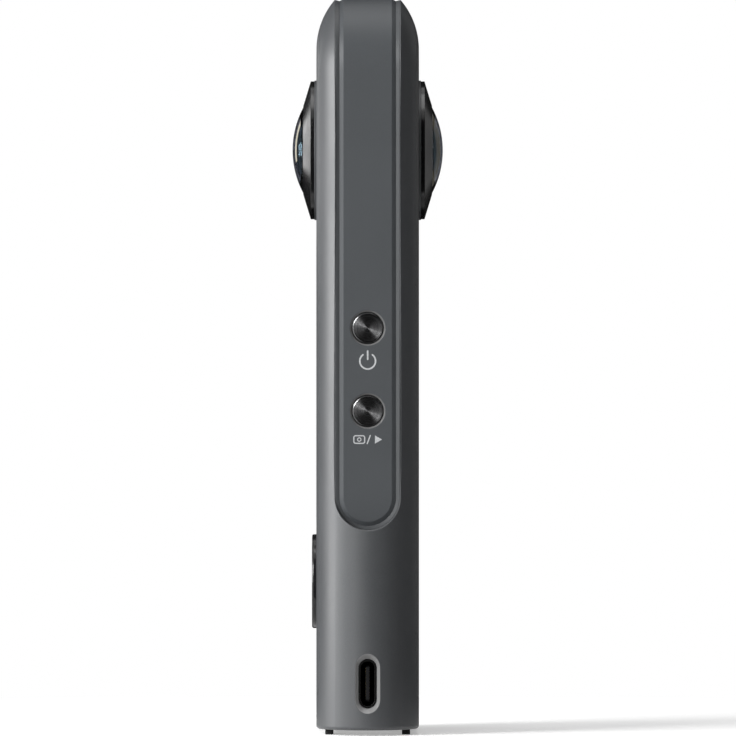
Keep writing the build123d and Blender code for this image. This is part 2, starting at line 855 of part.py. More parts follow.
def barrel_elements():
    wide = hollowed_element(barrel_wide_bore - lens_gap, barrel_step_height, wide_element_thickness)
    narrow = hollowed_element(barrel_narrow_bore - lens_gap, barrel_back_height, narrow_element_thickness)
    return [wide, narrow]


def front_prism():
    """A prism that turns the light from the front lens towards -X."""
    leg = prism_leg / 2
    near = -prism_leg - prism_shift
    corners = [(-leg, near), (leg, near), (-leg, -prism_shift)]
    section = make_face(Polyline(*corners, close=True).edges())
    return Pos(0, 0, lens_z - leg) * extrude(section, amount=prism_leg)


def light_path_y():
    return -prism_shift - prism_leg / 2


def relay_elements():
    pieces = []
    for x in (relay_first_x, relay_second_x):
        pieces.append(rod_along_x(relay_radius, -x - relay_thickness, -x, light_path_y(), lens_z))
    return pieces


def optical_block():
    half = block_length / 2
    body = block((-half, half), (-block_face_y, block_face_y),
                 (lens_z - block_height / 2, lens_z + block_height / 2))
    reach = prism_leg / 2 + lens_gap
    deep = prism_leg + prism_shift + lens_gap
    body -= block((-reach, reach), (-deep, deep), (lens_z - reach, lens_z + reach))
    window = prism_leg / 2 + lens_gap
    body -= rod_along_y(window, -block_face_y, block_face_y, 0, lens_z)
    bore = relay_radius + lens_gap
    body -= rod_along_x(bore, -half, 0, light_path_y(), lens_z)
    body -= rod_along_x(bore, 0, half, -light_path_y(), lens_z)
    return body


def centred_side_plate(x_from, x_to, y, z, depth, height):
    return block((x_from, x_to), (y - depth / 2, y + depth / 2), (z - height / 2, z + height / 2))


def front_sensor():
    face = -block_length / 2 - lens_gap
    return centred_side_plate(face - sensor_thickness, face, light_path_y(), lens_z,
                              sensor_depth, sensor_height)


def front_sensor_board():
    face = -block_length / 2 - lens_gap - sensor_thickness
    return centred_side_plate(face - sensor_board_thickness, face, light_path_y(), lens_z,
                              sensor_board_depth, sensor_board_height)


def turned_to_rear(piece):
    return piece.rotate(Axis.Z, half_turn)


def display_glass():
    outline = RectangleRounded(glass_width, glass_height, glass_corner_radius)
    return slab(Pos(0, display_z) * outline, -half_depth, -half_depth + glass_thickness)


def display_adhesive():
    outer = RectangleRounded(glass_width, glass_height, glass_corner_radius)
    inner = Rectangle(panel_width + 2 * panel_gap, panel_height + 2 * panel_gap)
    front_y = -half_depth + glass_thickness
    return slab(Pos(0, display_z) * (outer - inner), front_y, front_y + adhesive_thickness)


def display_panel():
    front_y = -half_depth + glass_thickness
    return slab(Pos(0, display_z) * Rectangle(panel_width, panel_height), front_y, front_y + panel_thickness)


def shutter_ring():
    ring = disc(shutter_radius + shutter_gap, shutter_ring_radius, -shutter_ring_seat, shutter_ring_height)
    ring = fillet(ring.edges().group_by(Axis.Y)[-1], shutter_ring_round)
    return on_front(ring, shutter_z)


def shutter_button():
    """The round button with a shallow dish, its retaining flange and its stem."""
    flange_top = -shutter_ring_seat - shutter_flange_gap
    cap = disc(0, shutter_radius, flange_top, shutter_height)
    cap = fillet(cap.edges().group_by(Axis.Y)[-1], shutter_edge_round)
    dish_edge = shutter_radius - 2 * shutter_edge_round
    dish_radius = (dish_edge ** 2 + shutter_dish ** 2) / (2 * shutter_dish)
    cap -= Pos(0, shutter_height - shutter_dish + dish_radius, 0) * Sphere(dish_radius)
    flange_low = flange_top - shutter_flange_thickness
    cap += disc(0, shutter_flange_radius, flange_low, flange_top)
    cap += disc(0, shutter_stem_radius, shutter_stem_tip, flange_low)
    return on_front(cap, shutter_z)


def shutter_seal():
    seat = -shutter_ring_seat
    seal = disc(shutter_hole_radius, shutter_ring_radius, seat - shutter_seal_thickness, seat)
    return on_front(seal, shutter_z)


def shutter_board():
    top = -cover_thickness - shutter_collar_height
    board = disc(0, shutter_board_radius, top - shutter_board_thickness, top)
    return on_front(board, shutter_z)


def shutter_switch():
    base = -cover_thickness - shutter_collar_height
    switch = disc(0, shutter_switch_radius, base, shutter_switch_top)
    switch = fillet(switch.edges().group_by(Axis.Y)[-1], shutter_switch_height / 2)
    return on_front(switch, shutter_z)


def status_light():
    guide = disc(0, light_radius, -cover_thickness, 0)
    guide += disc(0, light_flange_radius, -cover_thickness - light_flange_height, -cover_thickness)
    return on_front(guide, shutter_z, light_x)


def microphone():
    half_x = microphone_width / 2
    half_z = microphone_height / 2
    return block((-light_x - half_x, -light_x + half_x),
                 (-cover_back_y, -cover_back_y + microphone_thickness),
                 (shutter_z - half_z, shutter_z + half_z))


def speaker():
    outline = Pos(0, speaker_z) * RectangleRounded(speaker_width, speaker_height, cover_corner_radius / 2)
    box = slab(outline, cover_back_y - speaker_thickness, cover_back_y)
    chamber = speaker_thickness / 2
    slot = Pos(0, speaker_z) * Rectangle(speaker_hole_count * speaker_hole_pitch, 2 * speaker_hole_radius)
    return box - slab(slot, cover_back_y - chamber, cover_back_y)


def side_key(key_z):
    """A round key in the band, with a retaining flange and a stem towards its switch."""
    face = band_face_x - key_face_depth
    flange_top = band_back_x - key_flange_gap
    flange_low = flange_top - key_flange_thickness
    tip = key_switch_top_x + switch_gap + key_travel
    cap = rod_along_x(key_radius, flange_top, face, 0, key_z)
    cap = fillet(cap.edges().group_by(Axis.X)[-1], key_edge_round)
    cap += rod_along_x(key_flange_radius, flange_low, flange_top, 0, key_z)
    return cap + rod_along_x(key_stem_radius, tip, flange_low, 0, key_z)


def power_key():
    return side_key(power_key_z)


def mode_key():
    return side_key(mode_key_z)


def side_key_seal():
    pad = centred_side_plate(cavity_side_x - key_seal_thickness, cavity_side_x, 0, key_board_z,
                             key_seal_width, key_seal_height)
    for key_z in (power_key_z, mode_key_z):
        pad -= rod_along_x(key_seal_hole_radius, cavity_side_x - cut_overrun,
                           cavity_side_x + cut_overrun, 0, key_z)
    return pad


def side_key_board():
    return centred_side_plate(key_board_back_x, key_board_face_x, 0, key_board_z,
                              key_board_width, key_board_height)


def side_key_switches():
    switches = []
    for key_z in (power_key_z, mode_key_z):
        housing_top = key_board_face_x + key_switch_height
        housing = centred_side_plate(key_board_face_x, housing_top, 0, key_z, key_switch_size, key_switch_size)
        switches.append(housing + rod_along_x(key_plunger_radius, housing_top, key_switch_top_x, 0, key_z))
    return switches


def usb_shell():
    """The socket's metal shell, closed at the back."""
    outer = side_slab(usb_outline(0), usb_back_x, usb_mouth_x)
    inner = side_slab(usb_outline(-usb_shell_wall), usb_back_x + usb_shell_wall, usb_mouth_x + cut_overrun)
    return outer - inner


def usb_tongue():
    half_y = usb_tongue_thickness / 2
    half_z = usb_tongue_length / 2
    tongue = block((usb_back_x + usb_shell_wall, usb_mouth_x - usb_tongue_setback),
                   (-half_y, half_y), (usb_z - half_z, usb_z + half_z))
    return fillet(tongue.edges().filter_by(Axis.Y).group_by(Axis.X)[-1], usb_tongue_thickness)


def usb_board():
    top_y = -usb_shell_width / 2 - lens_gap
    base_z = floor_top_z + seat_gap
    return block((usb_board_right_x - usb_board_length, usb_board_right_x),
                 (top_y - usb_board_thickness, top_y), (base_z, base_z + usb_board_height))


def chassis():
    """The metal plate behind the display that carries the boards, the tray and the optics."""
    side_x = cavity_side_x - chassis_margin
    plate = slab(front_outline(cavity_inset + chassis_margin, chassis_base_z), chassis_front_y, chassis_back_y)
    plate -= rod_along_y(barrel_radius + lens_gap, chassis_front_y, chassis_back_y, 0, lens_z)
    window = shutter_board_radius + chassis_window_gap
    plate -= rod_along_y(window, chassis_front_y, chassis_back_y, 0, shutter_z)
    flange_half = chassis_flange_height / 2
    plate += block((chassis_flange_x, key_board_back_x),
                   (chassis_back_y, board_front_y - board_gap),
                   (key_board_z - flange_half, key_board_z + flange_half))
    for x, z in post_spots():
        post = rod_along_y(post_radius, chassis_back_y, board_front_y, x, z)
        plate += post - rod_along_y(board_screw_radius, board_front_y - board_screw_length,
                                    board_front_y, x, z)
    usb_board_y = -usb_shell_width / 2 - lens_gap - usb_board_thickness
    plate += rod_along_y(usb_post_radius, chassis_back_y, usb_board_y, usb_post_x, usb_post_z)
    return plate - block((side_x, half_width), (-half_depth, half_depth), (0, total_height))


def post_spots():
    return [(right_post_x, upper_post_z), (right_post_x, lower_post_z), (left_post_x, lower_post_z)]


def battery():
    left = -battery_end_x
    half = battery_thickness / 2
    pack = block((left, left + battery_length), (-half, half), (battery_base_z, battery_base_z + battery_height))
    return fillet(pack.edges().filter_by(Axis.X), battery_round)


def battery_tray():
    """A sleeve round the battery, open towards the door, with a window for the contacts."""
    left = -cavity_side_x + seat_gap
    right = tray_right_x - tray_wall
    half = tray_half_depth - tray_wall
    base_z = battery_base_z - battery_gap
    top_z = tray_top_z - tray_wall
    outer = block((left, tray_right_x), (-tray_half_depth, tray_half_depth),
                  (base_z - tray_wall, tray_top_z))
    tray = outer - block((left, right), (-half, half), (base_z, top_z))
    return tray - contact_form(right, seat_gap)


def contact_form(left, gap):
    half_y = contact_block_width / 2 + gap
    half_z = contact_block_height / 2 + gap
    middle_z = battery_base_z + battery_height / 2
    return block((left, left + contact_block_length), (-half_y, half_y), (middle_z - half_z, middle_z + half_z))


def battery_contacts():
    return contact_form(tray_right_x - tray_wall, 0)


def slider_window(z_low, z_high, width, x_from, x_to):
    return block((x_from, x_to), (-width / 2, width / 2), (z_low, z_high))


def neck_base_z():
    return slider_base_z + (slider_length - slider_neck_length) / 2


def battery_door():
    """The door's plate with a rolled lower edge for the hinge pin and a recess for the slider."""
    half = door_width / 2
    plate = block((-band_face_x, -door_inner_x), (-half, half), (hinge_z, door_top_z))
    plate = fillet(plate.edges().filter_by(Axis.X).group_by(Axis.Z)[-1], door_corner_radius)
    plate += rod_along_y(hinge_offset, -half, half, -hinge_x, hinge_z)
    plate -= rod_along_y(hinge_pin_radius + pin_gap, -half, half, -hinge_x, hinge_z)
    recess_depth = slider_plate_depth + slider_plate_thickness + seat_gap
    plate -= slider_window(slider_base_z - slider_gap, slider_top_z + slider_travel + slider_gap,
                           slider_width + 2 * slider_gap, -band_face_x - cut_overrun,
                           -band_face_x + recess_depth)
    low = neck_base_z()
    return plate - slider_window(low - slider_gap, low + slider_neck_length + slider_travel + slider_gap,
                                 slider_neck_width + 2 * slider_gap, -band_face_x, -door_inner_x)


def lock_slider():
    """A ribbed slider in the door's face, its neck through the door and its hook behind it."""
    outer = -band_face_x + slider_plate_depth
    inner = outer + slider_plate_thickness
    slider = slider_window(slider_base_z, slider_top_z, slider_width, outer, inner)
    for number in range(slider_rib_count):
        offset = (number - (slider_rib_count - 1) / 2) * slider_rib_pitch
        middle = (slider_base_z + slider_top_z) / 2 + offset
        slider -= slider_window(middle - slider_rib_width / 2, middle + slider_rib_width / 2,
                                slider_width, outer, outer + slider_rib_depth)
    low = neck_base_z()
    slider += slider_window(low, low + slider_neck_length, slider_neck_width, inner, -hook_outer_x)
    hook_base_z = low - slider_hook_overlap
    return slider + slider_window(hook_base_z, hook_top_z, slider_hook_width,
                                  -hook_outer_x, -hook_outer_x + slider_hook_thickness)


def door_hinge_pin():
    reach = hinge_pin_length / 2
    return rod_along_y(hinge_pin_radius, -reach, reach, -hinge_x, hinge_z)


def door_pad():
    """A foam pad on the door that presses on the end of the battery."""
    middle_z = battery_base_z + battery_height / 2
    return centred_side_plate(-door_inner_x, -door_inner_x + door_pad_thickness, 0, middle_z,
                              door_pad_width, door_pad_height)


def main_board():
    outline = Pos(0, (board_base_z + board_top_z) / 2) * RectangleRounded(
        board_width, board_top_z - board_base_z, board_corner_radius)
    board = slab(outline, board_front_y, board_back_y)
    for x, z in post_spots():
        board -= rod_along_y(board_screw_radius + board_screw_gap, board_front_y, board_back_y, x, z)
    return board


def board_screws():
    screws = []
    for x, z in post_spots():
        shank = rod_along_y(board_screw_radius, board_front_y - board_screw_length, board_back_y, x, z)
        head_y = board_back_y + board_screw_head_height
        screws.append(shank + rod_along_y(board_screw_head_radius, board_back_y, head_y, x, z))
    return screws


def board_chips():
    chips = []
    for across_share, up_share, width_share, height_share in chip_shares:
        outline = Rectangle(width_share * shield_width, height_share * shield_height)
        place = Pos(across_share * shield_width, shield_z + up_share * shield_height)
        chips.append(slab(place * outline, board_back_y, board_back_y + chip_thickness))
    return chips


def board_shield():
    outer = slab(Pos(0, shield_z) * Rectangle(shield_width, shield_height),
                 board_back_y, board_back_y + shield_depth)
    inner_width = shield_width - 2 * shield_wall
    inner_height = shield_height - 2 * shield_wall
    return outer - slab(Pos(0, shield_z) * Rectangle(inner_width, inner_height),
                        board_back_y, board_back_y + shield_depth - shield_wall)


def heat_spreader():
    front_y = board_back_y + shield_depth
    return slab(Pos(0, shield_z) * Rectangle(shield_width, shield_height), front_y, front_y + spreader_thickness)


def card_outline():
    """A memory card from the front, one corner cut away."""
    right = card_length
    top = card_height / 2
    cut = card_corner_cut
    points = [(0, -top), (right, -top), (right, top - cut), (right - cut, top), (0, top)]
    return make_face(Polyline(*points, close=True).edges())


def card_front_y():
    return board_front_y - reader_depth / 2 - card_thickness / 2


def memory_card():
    left = -cavity_side_x + seat_gap + card_gap
    return slab(Pos(left, reader_z) * card_outline(), card_front_y(), card_front_y() + card_thickness)


def card_reader():
    """The card's metal cage, open towards the battery door."""
    left = -cavity_side_x + seat_gap
    half = reader_height / 2
    cage = block((left, left + reader_length), (board_front_y - reader_depth, board_front_y),
                 (reader_z - half, reader_z + half))
    slot_half = card_height / 2 + card_gap
    slot = block((left, left + reader_length - reader_wall),
                 (card_front_y() - card_gap, card_front_y() + card_thickness + card_gap),
                 (reader_z - slot_half, reader_z + slot_half))
    return cage - slot


def antenna():
    top_z = cavity_top_z - seat_gap
    return block((-antenna_length / 2, antenna_length / 2), (-antenna_width / 2, antenna_width / 2),
                 (top_z - antenna_thickness, top_z))


def lens_set(place, carry, side):
    """The nodes of one lens assembly, placed on its face by place and carry."""
    small = [carry(piece) for piece in relay_elements()]
    large = [place(piece, lens_z) for piece in barrel_elements()]
    return {
        side + "_lens_ring": place(lens_ring(), lens_z),
        side + "_lens_bezel": place(lens_bezel(), lens_z),
        side + "_lens_dome": place(lens_dome(), lens_z),
        side + "_lens_barrel": place(lens_barrel(), lens_z),
        side + "_lens_elements": large + small,
        side + "_prism": carry(front_prism()),
        side + "_sensor": carry(front_sensor()),
        side + "_sensor_board": carry(front_sensor_board()),
    }


def unmoved(piece):
    return piece


def all_nodes():
    makers = [
        body_frame, side_band, front_cover, rear_cover, base_plate, base_screws, rubber_feet,
        tripod_socket, optical_block, display_glass, display_adhesive, display_panel, shutter_ring,
        shutter_button, shutter_seal, shutter_board, shutter_switch, status_light, microphone,
        speaker, power_key, mode_key, side_key_seal, side_key_board, side_key_switches, usb_shell,
        usb_tongue, usb_board, chassis, battery, battery_tray, battery_contacts, battery_door,
        lock_slider, door_hinge_pin, door_pad, main_board, board_screws, board_chips, board_shield,
        heat_spreader, memory_card, card_reader, antenna,
    ]
    nodes = {maker.__name__: maker() for maker in makers}
    nodes.update(lens_set(on_front, unmoved, "front"))
    nodes.update(lens_set(on_rear, turned_to_rear, "rear"))
    return nodes


os.makedirs("parts", exist_ok=True)
for node_name, node_shape in all_nodes().items():
    pieces = node_shape if isinstance(node_shape, list) else [node_shape]
    solids = [solid for piece in pieces for solid in piece.solids()]
    export_step(Compound(children=solids), "parts/" + node_name + ".step")
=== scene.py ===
import json
from math import atan2, cos, pi, radians, sin, sqrt

import bmesh
import bpy
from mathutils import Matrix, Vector


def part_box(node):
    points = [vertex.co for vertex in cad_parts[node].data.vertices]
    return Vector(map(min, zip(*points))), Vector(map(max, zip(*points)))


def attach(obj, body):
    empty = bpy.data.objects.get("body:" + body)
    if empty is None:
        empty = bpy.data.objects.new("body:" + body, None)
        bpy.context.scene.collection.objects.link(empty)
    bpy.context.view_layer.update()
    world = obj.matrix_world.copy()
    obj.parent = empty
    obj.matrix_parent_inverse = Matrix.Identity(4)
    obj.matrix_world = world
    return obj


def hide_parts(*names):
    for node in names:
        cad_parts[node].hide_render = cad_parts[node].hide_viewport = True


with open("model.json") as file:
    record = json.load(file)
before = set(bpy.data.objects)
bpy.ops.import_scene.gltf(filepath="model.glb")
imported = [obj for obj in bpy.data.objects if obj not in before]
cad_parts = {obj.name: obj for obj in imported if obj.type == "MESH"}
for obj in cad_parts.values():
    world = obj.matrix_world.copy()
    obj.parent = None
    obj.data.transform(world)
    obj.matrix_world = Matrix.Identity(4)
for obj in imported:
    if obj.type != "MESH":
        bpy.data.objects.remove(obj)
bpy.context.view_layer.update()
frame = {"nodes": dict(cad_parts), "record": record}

# The looks of a slim upright camera round its CAD frame. Metres, +Z up. The side with the keys and the
# USB socket faces +X, the display and the shutter button face -Y.

MM = 0.001
QUARTER = pi / 2

# The photo's view of the side with the keys, with the size of one of its pixels

IMAGE_SIDE = 736
PIXEL = 0.1853 * MM
VIEW_MIDDLE_Y = 0.06 * MM
VIEW_MIDDLE_Z = 67.73 * MM
CAMERA_DISTANCE = 2.0
SILHOUETTE_X = 12 * MM
SENSOR_WIDTH = 36.0
NEAREST_SEEN = 0.01


# Places that the pieces share

band_face_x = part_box("side_band")[1].x


def middle_of(node):
    low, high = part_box(node)
    return (low + high) / 2


power_key_centre = middle_of("power_key")
mode_key_centre = middle_of("mode_key")
front_lens_centre = middle_of("front_lens_dome")
rear_lens_centre = middle_of("rear_lens_dome")
panel_centre = middle_of("display_panel")


# Edges and areas that the finishes mark, and where they lie

MOUTH_EDGE = 0.1 * MM
MOUTH_REACH = 0.05 * MM
MOUTH_START = 0.01 * MM
KEY_HOLE_REACH = 3.29 * MM
KEY_HOLE_SUNK = 0.015 * MM
LIT_HALF_WIDTH = 13.55 * MM
LIT_HALF_HEIGHT = 24.85 * MM
LIT_EDGE = 0.05 * MM
SENSOR_CELL = 0.03 * MM
VIA_TONE = (0.62, 0.45, 0.16, 1)

# How far a rubbed edge reaches from its corner, on each kind of piece

SHELL_WEAR_REACH = 0.25 * MM
POLISHED_WEAR_REACH = 0.12 * MM
METAL_WEAR_REACH = 0.15 * MM
CAST_WEAR_REACH = 0.2 * MM
PRINT_WEAR_REACH = 0.05 * MM

# Where nearly all values of a noise lie

NOISE_RANGE = (0.3, 0.7)


# Shader nodes

def put(tree, kind, props=None, **values):
    """Adds a node. A socket named in values is set, or linked when the value is another node's socket."""
    made = tree.nodes.new(kind)
    for key, value in (props or {}).items():
        setattr(made, key, value)
    for key, value in values.items():
        feed(tree, made.inputs[key.replace("_", " ")], value)
    return made


def feed(tree, socket, value):
    if isinstance(value, bpy.types.NodeSocket):
        tree.links.new(value, socket)
    else:
        socket.default_value = value


def maths(tree, operation, *values, clamp=False):
    """A Math node over numbers and sockets."""
    made = tree.nodes.new("ShaderNodeMath")
    made.operation = operation
    made.use_clamp = clamp
    for socket, value in zip(made.inputs, values):
        feed(tree, socket, value)
    return made.outputs[0]


def times(tree, first, second, clamp=False):
    return maths(tree, "MULTIPLY", first, second, clamp=clamp)


def length_of(tree, first, second):
    """The length of a flat offset, from its two parts."""
    squares = [maths(tree, "POWER", part, 2.0) for part in (first, second)]
    return maths(tree, "SQRT", maths(tree, "ADD", *squares))


def parts_of(tree, vector):
    return put(tree, "ShaderNodeSeparateXYZ", Vector=vector).outputs


def noise(tree, vector, scale, detail, **values):
    return put(tree, "ShaderNodeTexNoise", Vector=vector, Scale=scale, Detail=detail, **values).outputs[0]


def spread(tree, value, from_low, from_high, to_low=0.0, to_high=1.0):
    """Maps one range of a value to another, and holds it inside."""
    made = put(tree, "ShaderNodeMapRange", Value=value)
    for name, number in (("From Min", from_low), ("From Max", from_high),
                         ("To Min", to_low), ("To Max", to_high)):
        feed(tree, made.inputs[name], number)
    return made.outputs["Result"]


def grey(value):
    return (value, value, value, 1)


def tone(red, green, blue):
    return (red, green, blue, 1)


# Trees that are shared, with named sockets

SOCKET_KINDS = {int: "NodeSocketInt", float: "NodeSocketFloat", tuple: "NodeSocketVector"}
NOWHERE = (0.0, 0.0, 0.0)


def new_tree(name, kind, inputs, outputs):
    """An empty tree with its named sockets, and its two end nodes.

    Each socket is given by its starting value, or by its kind where it has none.
    """
    tree = bpy.data.node_groups.new(name, kind)
    for side, sockets in (("INPUT", inputs), ("OUTPUT", outputs)):
        for label, value in sockets.items():
            has_start = not isinstance(value, str)
            socket_kind = SOCKET_KINDS[type(value)] if has_start else value
            socket = tree.interface.new_socket(name=label, in_out=side, socket_type=socket_kind)
            if has_start:
                socket.default_value = value
    return tree, tree.nodes.new("NodeGroupInput").outputs, tree.nodes.new("NodeGroupOutput").inputs


def shared_group(name, settings, outputs):
    """An empty node group for shaders, which takes coordinates and settings."""
    made = {label: NOWHERE if label == "Normal" else 0.0 for label in outputs}
    return new_tree(name, "ShaderNodeTree", dict(Vector=NOWHERE, **settings), made)


def moulded_grain_group():
    """The fine spark-eroded texture of moulded plastic, with slow drifts of tone."""
    tree, given, out = shared_group("moulded grain", {"Grain": 4000.0}, ("Height", "Speckle", "Drift"))
    fine = noise(tree, given["Vector"], given["Grain"], 2.0, Roughness=0.6)
    pits = put(tree, "ShaderNodeTexVoronoi", {"feature": "SMOOTH_F1"}, Vector=given["Vector"],
               Scale=times(tree, given["Grain"], 0.31), Smoothness=0.6).outputs[0]
    feed(tree, out["Height"], maths(tree, "MULTIPLY_ADD", fine, 0.6, times(tree, pits, 0.5)))
    feed(tree, out["Speckle"], spread(tree, fine, 0.35, 0.65))
    slow = noise(tree, given["Vector"], 55.0, 3.0, Roughness=0.55)
    feed(tree, out["Drift"], spread(tree, slow, *NOISE_RANGE))
    return tree


def edge_wear_group():
    """Masks for outer edges that hands and pockets have rubbed, broken up so that no edge wears evenly."""
    tree, given, out = shared_group("edge wear", {"Reach": 0.0002}, ("Wear", "Normal"))
    rounded = put(tree, "ShaderNodeBevel", {"samples": 4}, Radius=given["Reach"]).outputs["Normal"]
    facing = tree.nodes.new("ShaderNodeVectorMath")
    facing.operation = "DOT_PRODUCT"
    feed(tree, facing.inputs[0], rounded)
    feed(tree, facing.inputs[1], put(tree, "ShaderNodeNewGeometry").outputs["Normal"])
    turned_away = maths(tree, "SUBTRACT", 1.0, facing.outputs["Value"])
    broken = spread(tree, noise(tree, given["Vector"], 420.0, 4.0, Roughness=0.7), 0.38, 0.62)
    feed(tree, out["Wear"], times(tree, spread(tree, turned_away, 0.03, 0.2), broken, clamp=True))
    feed(tree, out["Normal"], rounded)
    return tree


def turned_rings_group():
    """Fine rings round the local Z axis of the given coordinates, as a lathe leaves them."""
    tree, given, out = shared_group("turned rings", {"Rings": 6000.0}, ("Height", "Tone"))
    parts = parts_of(tree, given["Vector"])
    radius = length_of(tree, parts[0], parts[1])
    fine = put(tree, "ShaderNodeTexNoise", {"noise_dimensions": "1D"}, W=radius, Scale=given["Rings"],
               Detail=3.0, Roughness=0.7)
    wide = put(tree, "ShaderNodeTexNoise", {"noise_dimensions": "1D"}, W=radius,
               Scale=times(tree, given["Rings"], 0.2), Detail=2.0)
    feed(tree, out["Height"], fine.outputs[0])
    feed(tree, out["Tone"], spread(tree, wide.outputs[0], *NOISE_RANGE))
    return tree


def handling_group():
    """Faint finger haze and fine dust that lie on polished surfaces."""
    tree, given, out = shared_group("handling", {}, ("Haze", "Dust"))
    blots = noise(tree, given["Vector"], 95.0, 5.0, Roughness=0.62, Distortion=0.8)
    feed(tree, out["Haze"], spread(tree, blots, 0.42, 0.72))
    specks = put(tree, "ShaderNodeTexVoronoi", Vector=given["Vector"], Scale=2600.0)
    near = spread(tree, specks.outputs["Distance"], 0.16, 0.07)
    sparse = spread(tree, noise(tree, given["Vector"], 260.0, 1.0), 0.6, 0.7)
    feed(tree, out["Dust"], times(tree, near, sparse))
    return tree


def brushed_group():
    """Long fine scratches along the local X axis of the given coordinates."""
    tree, given, out = shared_group("brushed lines", {"Lines": 5000.0}, ("Height", "Tone"))
    drawn = put(tree, "ShaderNodeMapping", Vector=given["Vector"], Scale=(0.03, 1.0, 1.0)).outputs[0]
    feed(tree, out["Height"], noise(tree, drawn, given["Lines"], 3.0, Roughness=0.7))
    feed(tree, out["Tone"], spread(tree, noise(tree, given["Vector"], 160.0, 3.0), *NOISE_RANGE))
    return tree


GRAIN = moulded_grain_group()
WEAR = edge_wear_group()
RINGS = turned_rings_group()
HANDLING = handling_group()
BRUSHED = brushed_group()


# Finishes, each with its own material

def blank_material(name):
    material = bpy.data.materials.new(name)
    material.use_nodes = True
    material.node_tree.nodes.clear()
    return material, material.node_tree


class Finish:
    """A material with its shader, its object coordinates, and short ways to add nodes and groups."""

    def __init__(self, name, **constants):
        self.material, self.tree = blank_material(name)
        self.shader = put(self.tree, "ShaderNodeBsdfPrincipled", **constants)
        put(self.tree, "ShaderNodeOutputMaterial", Surface=self.shader.outputs[0])
        self.place = put(self.tree, "ShaderNodeTexCoord").outputs["Object"]

    def group(self, tree, vector=None, **values):
        made = self.tree.nodes.new("ShaderNodeGroup")
        made.node_tree = tree
        feed(self.tree, made.inputs["Vector"], self.place if vector is None else vector)
        for key, value in values.items():
            feed(self.tree, made.inputs[key], value)
        return made.outputs

    def around(self, centre, turn=(0, 0, 0)):
        """Object coordinates moved to a centre, then turned so that the piece's axis is their Z."""
        moved = put(self.tree, "ShaderNodeMapping", Vector=self.place, Location=[-v for v in centre])
        return put(self.tree, "ShaderNodeMapping", Vector=moved.outputs[0], Rotation=turn).outputs[0]

    def colour(self, share, first, second):
        """A colour between two, which is the second one where the share is 1."""
        made = put(self.tree, "ShaderNodeMix", {"data_type": "RGBA"})
        colour_sockets = made.inputs[6:8]
        for socket, value in zip((made.inputs[0], *colour_sockets), (share, first, second)):
            feed(self.tree, socket, value)
        return made.outputs[2]

    def noise(self, scale, detail, **values):
        return noise(self.tree, self.place, scale, detail, **values)

    def between(self, share, low, high):
        """A value that goes from low to high as the share goes from 0 to 1."""
        return spread(self.tree, share, 0.0, 1.0, low, high)

    def uneven(self, height, low, high):
        """A value between low and high that follows a noise."""
        return spread(self.tree, height, *NOISE_RANGE, low, high)

    def bump(self, height, depth, normal=None):
        made = put(self.tree, "ShaderNodeBump", Strength=1.0, Distance=depth, Height=height)
        if normal is not None:
            feed(self.tree, made.inputs["Normal"], normal)
        return made.outputs[0]

    def done(self, colour, roughness, normal, **sockets):
        """Sets or links the sockets of the shader, and hands over the material."""
        sockets.update(Base_Color=colour, Roughness=roughness, Normal=normal)
        for key, value in sockets.items():
            feed(self.tree, self.shader.inputs[key.replace("_", " ")], value)
        return self.material


def darker(colour, share):
    return tone(*(value * share for value in colour[:3]))


def socket_mouth_mask(made):
    """1 on the flared mouth of the USB socket, which is cut at 45 degrees from its round-ended outline."""
    tree = made.tree
    low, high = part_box("usb_shell")
    radius = (high.y - low.y) / 2 + MOUTH_EDGE
    half_straight = (high.z - low.z - high.y + low.y) / 2
    parts = parts_of(tree, made.around((high.x, 0, (low.z + high.z) / 2)))
    beyond = maths(tree, "SUBTRACT", maths(tree, "ABSOLUTE", parts[2]), half_straight)
    from_middle = length_of(tree, maths(tree, "MAXIMUM", beyond, 0.0), parts[1])
    outside = maths(tree, "SUBTRACT", from_middle, radius)
    off_slope = maths(tree, "ABSOLUTE", maths(tree, "SUBTRACT", parts[0], outside))
    on_slope = maths(tree, "LESS_THAN", off_slope, MOUTH_REACH)
    return times(tree, on_slope, maths(tree, "GREATER_THAN", outside, MOUTH_START))


def from_nearer_key(tree, parts):
    """The height above the nearer side key's centre."""
    upper = maths(tree, "GREATER_THAN", parts[2], (power_key_centre.z + mode_key_centre.z) / 2)
    key_z = spread(tree, upper, 0.0, 1.0, mode_key_centre.z, power_key_centre.z)
    return maths(tree, "SUBTRACT", parts[2], key_z)


def key_mouth_mask(made):
    """1 on the small cut edges round the two key holes."""
    tree = made.tree
    parts = parts_of(tree, made.place)
    radius = length_of(tree, from_nearer_key(tree, parts), parts[1])
    sunk = maths(tree, "LESS_THAN", parts[0], band_face_x - KEY_HOLE_SUNK)
    return times(tree, maths(tree, "LESS_THAN", radius, KEY_HOLE_REACH), sunk)


